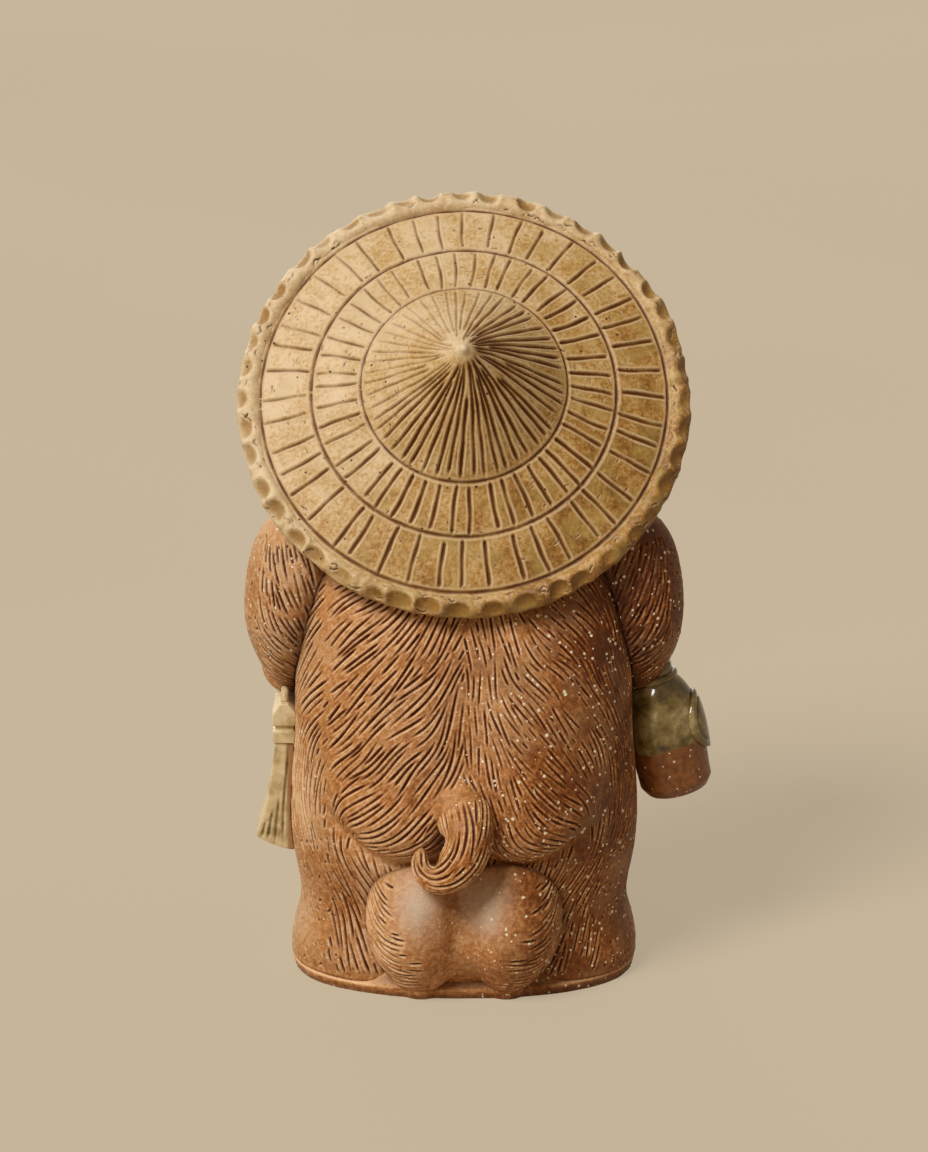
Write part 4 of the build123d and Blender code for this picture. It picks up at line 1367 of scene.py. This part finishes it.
def bare_stoneware():
    """Unglazed stoneware, press-moulded and wood-fired: warm brown, flashed paler in the firing on one
    side, where it is also painted lighter as lit, with painted shade in the scored lines and joints,
    painted highlights on the ridges and the bag's ash, paler ash and painted light on faces up and to the
    left, pale feldspar grains and a dull gloss of ash."""
    material, tree, place = new_material("wood_fired_stoneware")
    names = ("groove", "ridge", "ash", "dark_marks_and_shade")
    marks = {name: add(tree, "Attribute", attribute_name=name).outputs["Fac"] for name in names}
    side = add(tree, "SeparateXYZ", {"Vector": place}).outputs["X"]
    # Paler towards the figure's left: flashing in the firing, and painted light from the lamp on that side
    flame_and_light = add(
        tree,
        "MapRange",
        {"Value": side, "From Min": -75 * MM, "From Max": 75 * MM, "To Min": 0.23, "To Max": 0.7},
    )
    flash = add(tree, "TexNoise", {"Vector": place, "Scale": per(40), "Detail": 3.0})
    mottle = add(tree, "TexNoise", {"Vector": place, "Scale": per(2.4), "Detail": 6.0, "Roughness": 0.72})
    uneven_clay = add(tree, "Mix", {"Factor": 0.6, "A": flash, "B": mottle}, data_type="FLOAT")
    strong = add(tree, "MapRange", {"Value": uneven_clay, "From Min": 0.34, "From Max": 0.66})
    tone = add(tree, "Mix", {"Factor": 0.42, "A": flame_and_light, "B": strong}, data_type="FLOAT")
    # Raised clay painted paler: painted highlights on the ridges beside the strokes, and the slab's rubbed
    # edge
    rubbed = add(tree, "Math", {0: marks["ridge"], 1: 0.34, 2: tone}, operation="MULTIPLY_ADD")
    clay = add(
        tree,
        "ValToRGB",
        {"Fac": rubbed},
        [(0.25, "#542405"), (0.42, "#824817"), (0.56, "#b57942"), (0.8, "#e3bb8f")],
    )
    # Paler where the clay faces up and to the left: ash that settled there, and painted light from that
    # side
    dust_and_light = add(
        tree,
        "MapRange",
        {"Value": facing_ash_and_light(tree), "From Min": 0.3, "From Max": 1.0, "To Max": 0.42},
    )
    dusted_and_lit = add(tree, "Mix", {"Factor": dust_and_light, "A": clay, "B": linear("#cb9a5f")}, data_type="RGBA")
    cloud = add(tree, "TexNoise", {"Vector": place, "Scale": per(30), "Detail": 4.0, "Roughness": 0.6})
    bloom = add(tree, "MapRange", {"Value": cloud, "From Min": 0.48, "From Max": 0.72, "To Max": 0.45})
    bloomed = add(tree, "Mix", {"Factor": bloom, "A": dusted_and_lit, "B": linear("#b08c66")}, data_type="RGBA")
    # Pale ash on the bag's lobes, which also serves as their painted highlight
    ash = {"Factor": marks["ash"], "A": bloomed, "B": linear("#cdb8a2")}
    ashed_and_highlit = add(tree, "Mix", ash, data_type="RGBA")
    # Painted shade in joints and hollows, and the clay's own darker marks
    dark_marks_and_shade = {"Factor": marks["dark_marks_and_shade"], "A": ashed_and_highlit, "B": linear("#381704")}
    darkened_and_shaded = add(tree, "Mix", dark_marks_and_shade, data_type="RGBA")
    # Painted shade in the scored lines
    line = add(tree, "MapRange", {"Value": marks["groove"], "From Min": 0.06, "From Max": 0.5})
    scored = add(tree, "Mix", {"Factor": line, "A": darkened_and_shaded, "B": linear("#4c1a00")}, data_type="RGBA")
    grains = add(tree, "TexVoronoi", {"Vector": place, "Scale": per(2.4)})
    chance = add(tree, "SeparateColor", {"Color": grains.outputs["Color"]}).outputs["Green"]
    from_left = add(tree, "Math", {0: side, 1: 35 * MM}, operation="SUBTRACT")
    from_poor = add(tree, "Math", {0: from_left}, operation="ABSOLUTE")
    rare = add(
        tree,
        "MapRange",
        {"Value": from_poor, "From Min": 10 * MM, "From Max": 55 * MM, "To Min": 0.86, "To Max": 0.44},
    )
    spare = add(tree, "Math", {0: chance, 1: rare}, operation="SUBTRACT")
    size = add(tree, "Math", {0: spare, 1: 0.62}, operation="MULTIPLY")
    grain = add(tree, "Math", {0: grains.outputs["Distance"], 1: size}, operation="LESS_THAN")
    colour = add(tree, "Mix", {"Factor": grain, "A": scored, "B": linear("#ead9b8")}, data_type="RGBA")
    grit = add(tree, "TexNoise", {"Vector": place, "Scale": per(1.1), "Detail": 3.0})
    bump = add(tree, "Bump", {"Height": grit, "Strength": 0.8, "Distance": 0.4 * MM})
    rough = add(tree, "MapRange", {"Value": mottle, "To Min": 0.4, "To Max": 0.66})
    shader = add(
        tree,
        "BsdfPrincipled",
        {"Base Color": colour, "Roughness": rough, "Specular IOR Level": CLAY_SHEEN, "Normal": bump},
    )
    add(tree, "OutputMaterial", {"Surface": shader})
    return material


def straw_ash_glaze():
    """Thin wood-ash glaze over scored stoneware: straw cream where it lies thick and, as painted light,
    where it faces up and to the left, olive and brown where it runs thin, pooled dark in the lines and
    dents, worn pale at the peak and on the rim, with pinholes and a satin gloss."""
    material, tree, place = new_material("straw_ash_glaze")
    names = ("groove", "ridge", "dent", "worn")
    marks = {name: add(tree, "Attribute", attribute_name=name).outputs["Fac"] for name in names}
    # Glaze heavier where it faces up and to the left, and painted light from that side
    upright = add(
        tree,
        "MapRange",
        {"Value": facing_ash_and_light(tree), "From Min": -0.3, "From Max": 0.8, "To Min": 0.2, "To Max": 0.9},
    )
    reach = add(tree, "VectorMath", {0: place, 1: THICK_GLAZE_WAY}, operation="DOT_PRODUCT")
    near = add(
        tree,
        "MapRange",
        {"Value": reach.outputs["Value"], "From Min": 90 * MM, "From Max": 225 * MM, "To Max": 0.95},
    )
    thick = add(tree, "Mix", {"Factor": 0.62, "A": upright, "B": near}, data_type="FLOAT")
    cloud = add(tree, "TexNoise", {"Vector": place, "Scale": per(16), "Detail": 4.0, "Roughness": 0.6})
    mottle = add(tree, "TexNoise", {"Vector": place, "Scale": per(1.8), "Detail": 6.0, "Roughness": 0.75})
    uneven_glaze = add(tree, "Mix", {"Factor": 0.6, "A": cloud, "B": mottle}, data_type="FLOAT")
    strong = add(tree, "MapRange", {"Value": uneven_glaze, "From Min": 0.4, "From Max": 0.6})
    tone = add(tree, "Mix", {"Factor": 0.42, "A": thick, "B": strong}, data_type="FLOAT")
    straw = add(
        tree,
        "ValToRGB",
        {"Fac": tone},
        [(0.2, "#6e4613"), (0.4, "#9e7030"), (0.56, "#bc9457"), (0.8, "#d6ba90")],
    )
    thin = add(tree, "TexNoise", {"Vector": place, "Scale": per(11), "Detail": 3.0})
    stain = add(tree, "MapRange", {"Value": thin, "From Min": 0.48, "From Max": 0.66, "To Max": 0.55})
    lean = add(
        tree,
        "MapRange",
        {"Value": near, "From Min": 0.35, "From Max": 0.9, "To Min": 1.0, "To Max": 0.35},
    )
    patchy = add(tree, "Math", {0: stain, 1: lean}, operation="MULTIPLY")
    stained = add(tree, "Mix", {"Factor": patchy, "A": straw, "B": linear("#a58a48")}, data_type="RGBA")
    pool = {"Factor": marks["dent"], "A": stained, "B": linear("#8c6428")}
    pooled = add(tree, "Mix", pool, data_type="RGBA")
    ridge = {"Factor": marks["ridge"], "A": pooled, "B": linear("#cdb084")}
    raised = add(tree, "Mix", ridge, data_type="RGBA")
    dry = add(tree, "Math", {0: marks["worn"], 1: near}, operation="MULTIPLY")
    worn = add(tree, "Mix", {"Factor": dry, "A": raised, "B": linear("#e0cda8")}, data_type="RGBA")
    line = add(tree, "MapRange", {"Value": marks["groove"], "From Min": 0.06, "From Max": 0.6})
    scored = add(tree, "Mix", {"Factor": line, "A": worn, "B": linear("#5f3000")}, data_type="RGBA")
    pits = add(tree, "TexVoronoi", {"Vector": place, "Scale": per(4)})
    chance = add(tree, "SeparateColor", {"Color": pits.outputs["Color"]}).outputs["Green"]
    size = add(tree, "MapRange", {"Value": chance, "From Min": 0.5, "To Max": 0.16})
    pinhole = add(tree, "Math", {0: pits.outputs["Distance"], 1: size}, operation="LESS_THAN")
    colour = add(tree, "Mix", {"Factor": pinhole, "A": scored, "B": linear("#4a2f18")}, data_type="RGBA")
    bump = add(tree, "Bump", {"Height": mottle, "Strength": 0.7, "Distance": 0.4 * MM})
    rough = add(tree, "MapRange", {"Value": mottle, "To Min": 0.3, "To Max": 0.55})
    shader = add(
        tree,
        "BsdfPrincipled",
        {"Base Color": colour, "Roughness": rough, "Specular IOR Level": THIN_GLAZE_SHEEN, "Normal": bump},
    )
    add(tree, "OutputMaterial", {"Surface": shader})
    return material


def flask_ash_glaze():
    """Poured wood-ash glaze: glassy olive brown with dark blotches and pale runs, which stops at a
    wandering line above the flask's bare brown foot with its feldspar grains."""
    material, tree, place = new_material("poured_olive_ash_glaze")
    glazed = add(tree, "Attribute", attribute_name="glaze").outputs["Fac"]
    blotch = add(tree, "TexNoise", {"Vector": place, "Scale": per(9), "Detail": 4.0, "Roughness": 0.6})
    glass = add(
        tree,
        "ValToRGB",
        {"Fac": blotch},
        [(0.32, "#3f2e12"), (0.46, "#6b5528"), (0.58, "#877346"), (0.72, "#ae9c72")],
    )
    mottle = add(tree, "TexNoise", {"Vector": place, "Scale": per(3), "Detail": 4.0})
    clay = add(tree, "ValToRGB", {"Fac": mottle}, [(0.35, "#66340f"), (0.65, "#865022")])
    grains = add(tree, "TexVoronoi", {"Vector": place, "Scale": per(2.4)})
    chance = add(tree, "SeparateColor", {"Color": grains.outputs["Color"]}).outputs["Green"]
    size = add(tree, "MapRange", {"Value": chance, "From Min": 0.6, "To Max": 0.26})
    grain = add(tree, "Math", {0: grains.outputs["Distance"], 1: size}, operation="LESS_THAN")
    grained = add(tree, "Mix", {"Factor": grain, "A": clay, "B": linear("#e2cda8")}, data_type="RGBA")
    colour = add(tree, "Mix", {"Factor": glazed, "A": grained, "B": glass}, data_type="RGBA")
    rough = add(tree, "MapRange", {"Value": glazed, "To Min": 0.42, "To Max": 0.1})
    shader = add(tree, "BsdfPrincipled", {"Base Color": colour, "Roughness": rough})
    add(tree, "OutputMaterial", {"Surface": shader})
    return material


def book_ash_glaze():
    """Brushed wood-ash glaze: opaque cream with olive shading, brown between the leaves and bare clay on
    the inner leaf, satin."""
    material, tree, place = new_material("brushed_cream_ash_glaze")
    groove = add(tree, "Attribute", attribute_name="groove").outputs["Fac"]
    bare = add(tree, "Attribute", attribute_name="dark_marks_and_shade").outputs["Fac"]
    cloud = add(tree, "TexNoise", {"Vector": place, "Scale": per(10), "Detail": 5.0, "Roughness": 0.65})
    cream = add(
        tree, "ValToRGB", {"Fac": cloud}, [(0.32, "#a08854"), (0.5, "#ceb688"), (0.68, "#e0cfa8")]
    )
    inner = add(tree, "Mix", {"Factor": bare, "A": cream, "B": linear("#9a7044")}, data_type="RGBA")
    colour = add(tree, "Mix", {"Factor": groove, "A": inner, "B": linear("#56401f")}, data_type="RGBA")
    bump = add(tree, "Bump", {"Height": cloud, "Strength": 0.2, "Distance": 0.3 * MM})
    rough = add(tree, "MapRange", {"Value": cloud, "To Min": 0.3, "To Max": 0.5})
    shader = add(tree, "BsdfPrincipled", {"Base Color": colour, "Roughness": rough, "Normal": bump})
    add(tree, "OutputMaterial", {"Surface": shader})
    return material


def dark_iron_glaze():
    """Dipped iron glaze: glassy black brown, rusty where it is thin."""
    material, tree, place = new_material("dipped_iron_glaze")
    thin = add(tree, "TexNoise", {"Vector": place, "Scale": per(5), "Detail": 3.0})
    colour = add(tree, "ValToRGB", {"Fac": thin}, [(0.4, "#150d08"), (0.7, "#3a2012")])
    rough = add(tree, "MapRange", {"Value": thin, "To Min": 0.1, "To Max": 0.25})
    shader = add(tree, "BsdfPrincipled", {"Base Color": colour, "Roughness": rough})
    add(tree, "OutputMaterial", {"Surface": shader})
    return material


# Studio


def in_sight(tree):
    """1 for rays that show in the picture, whether straight, mirrored or through glass."""
    ray = add(tree, "LightPath").outputs
    straight_or_mirrored = {0: ray["Is Camera Ray"], 1: ray["Is Glossy Ray"]}
    open_air = add(tree, "Math", straight_or_mirrored, operation="ADD")
    return add(tree, "Math", {0: open_air, 1: ray["Is Transmission Ray"]}, operation="ADD")


def floor():
    """A wide sheet of matt beige paper."""
    material, tree, place = new_material("matt_beige_paper")
    fibre = add(tree, "TexNoise", {"Vector": place, "Scale": per(700), "Detail": 2.0})
    colour = add(tree, "ValToRGB", {"Fac": fibre}, [(0.3, "#c5b59b"), (0.7, "#c8b89e")])
    glow = add(tree, "Math", {0: in_sight(tree), 1: FLOOR_GLOW}, operation="MULTIPLY")
    paper = add(tree, "BsdfDiffuse", {"Color": colour})
    even = add(tree, "Emission", {"Color": colour})
    shader = add(tree, "MixShader", {0: glow, 1: paper, 2: even})
    add(tree, "OutputMaterial", {"Surface": shader})
    half = FLOOR_SIZE / 2
    corners = np.array([(-half, -half, 0), (half, -half, 0), (half, half, 0), (-half, half, 0)])
    sheet = bpy.data.objects.new("paper_floor", mesh_of("paper_floor", corners, [[0, 1, 2, 3]]))
    sheet.data.materials.append(material)
    bpy.context.scene.collection.objects.link(sheet)


def look_at(thing, place, target):
    thing.location = place
    thing.rotation_euler = (target - place).to_track_quat("-Z", "Y").to_euler()
    bpy.context.scene.collection.objects.link(thing)


def lights():
    """The lamps, and a room that shows the paper's tone but lights the figure evenly."""
    for name, (way, width, power, shadow) in LAMPS.items():
        lamp = bpy.data.lights.new(name, "SUN")
        lamp.energy = power
        lamp.angle = width
        lamp.use_shadow = shadow
        look_at(bpy.data.objects.new(name, lamp), CAMERA_AIM + way, CAMERA_AIM)
    world = bpy.data.worlds.new("studio")
    bpy.context.scene.world = world
    world.use_nodes = True
    tree = world.node_tree
    tree.nodes.clear()
    ambient = add(tree, "Background", {"Color": linear("#ffe9cf"), "Strength": AMBIENT})
    backdrop = add(tree, "Background", {"Color": linear("#c6b69b")})
    shown = add(tree, "MixShader", {0: in_sight(tree), 1: ambient, 2: backdrop})
    add(tree, "OutputWorld", {"Surface": shown})


def camera():
    """The photo's view of the back."""
    lens = bpy.data.cameras.new("camera")
    lens.sensor_fit = "HORIZONTAL"
    lens.sensor_width = SENSOR_MM
    lens.lens = LENS_MM
    back = Vector((0, math.cos(CAMERA_RISE), math.sin(CAMERA_RISE)))
    view = bpy.data.objects.new("camera", lens)
    look_at(view, CAMERA_AIM + back * CAMERA_DISTANCE, CAMERA_AIM)
    bpy.context.scene.camera = view


def main():
    clay = bare_stoneware()
    straw = straw_ash_glaze()
    body(clay)
    limbs(clay)
    tail(clay)
    base(clay)
    money_bag(clay)
    head(clay)
    face_beads(dark_iron_glaze())
    hat_cone(straw)
    hat_rim(straw)
    flask(flask_ash_glaze())
    book(book_ash_glaze())
    floor()
    lights()
    camera()
    bpy.context.scene.view_settings.view_transform = "Standard"


main()
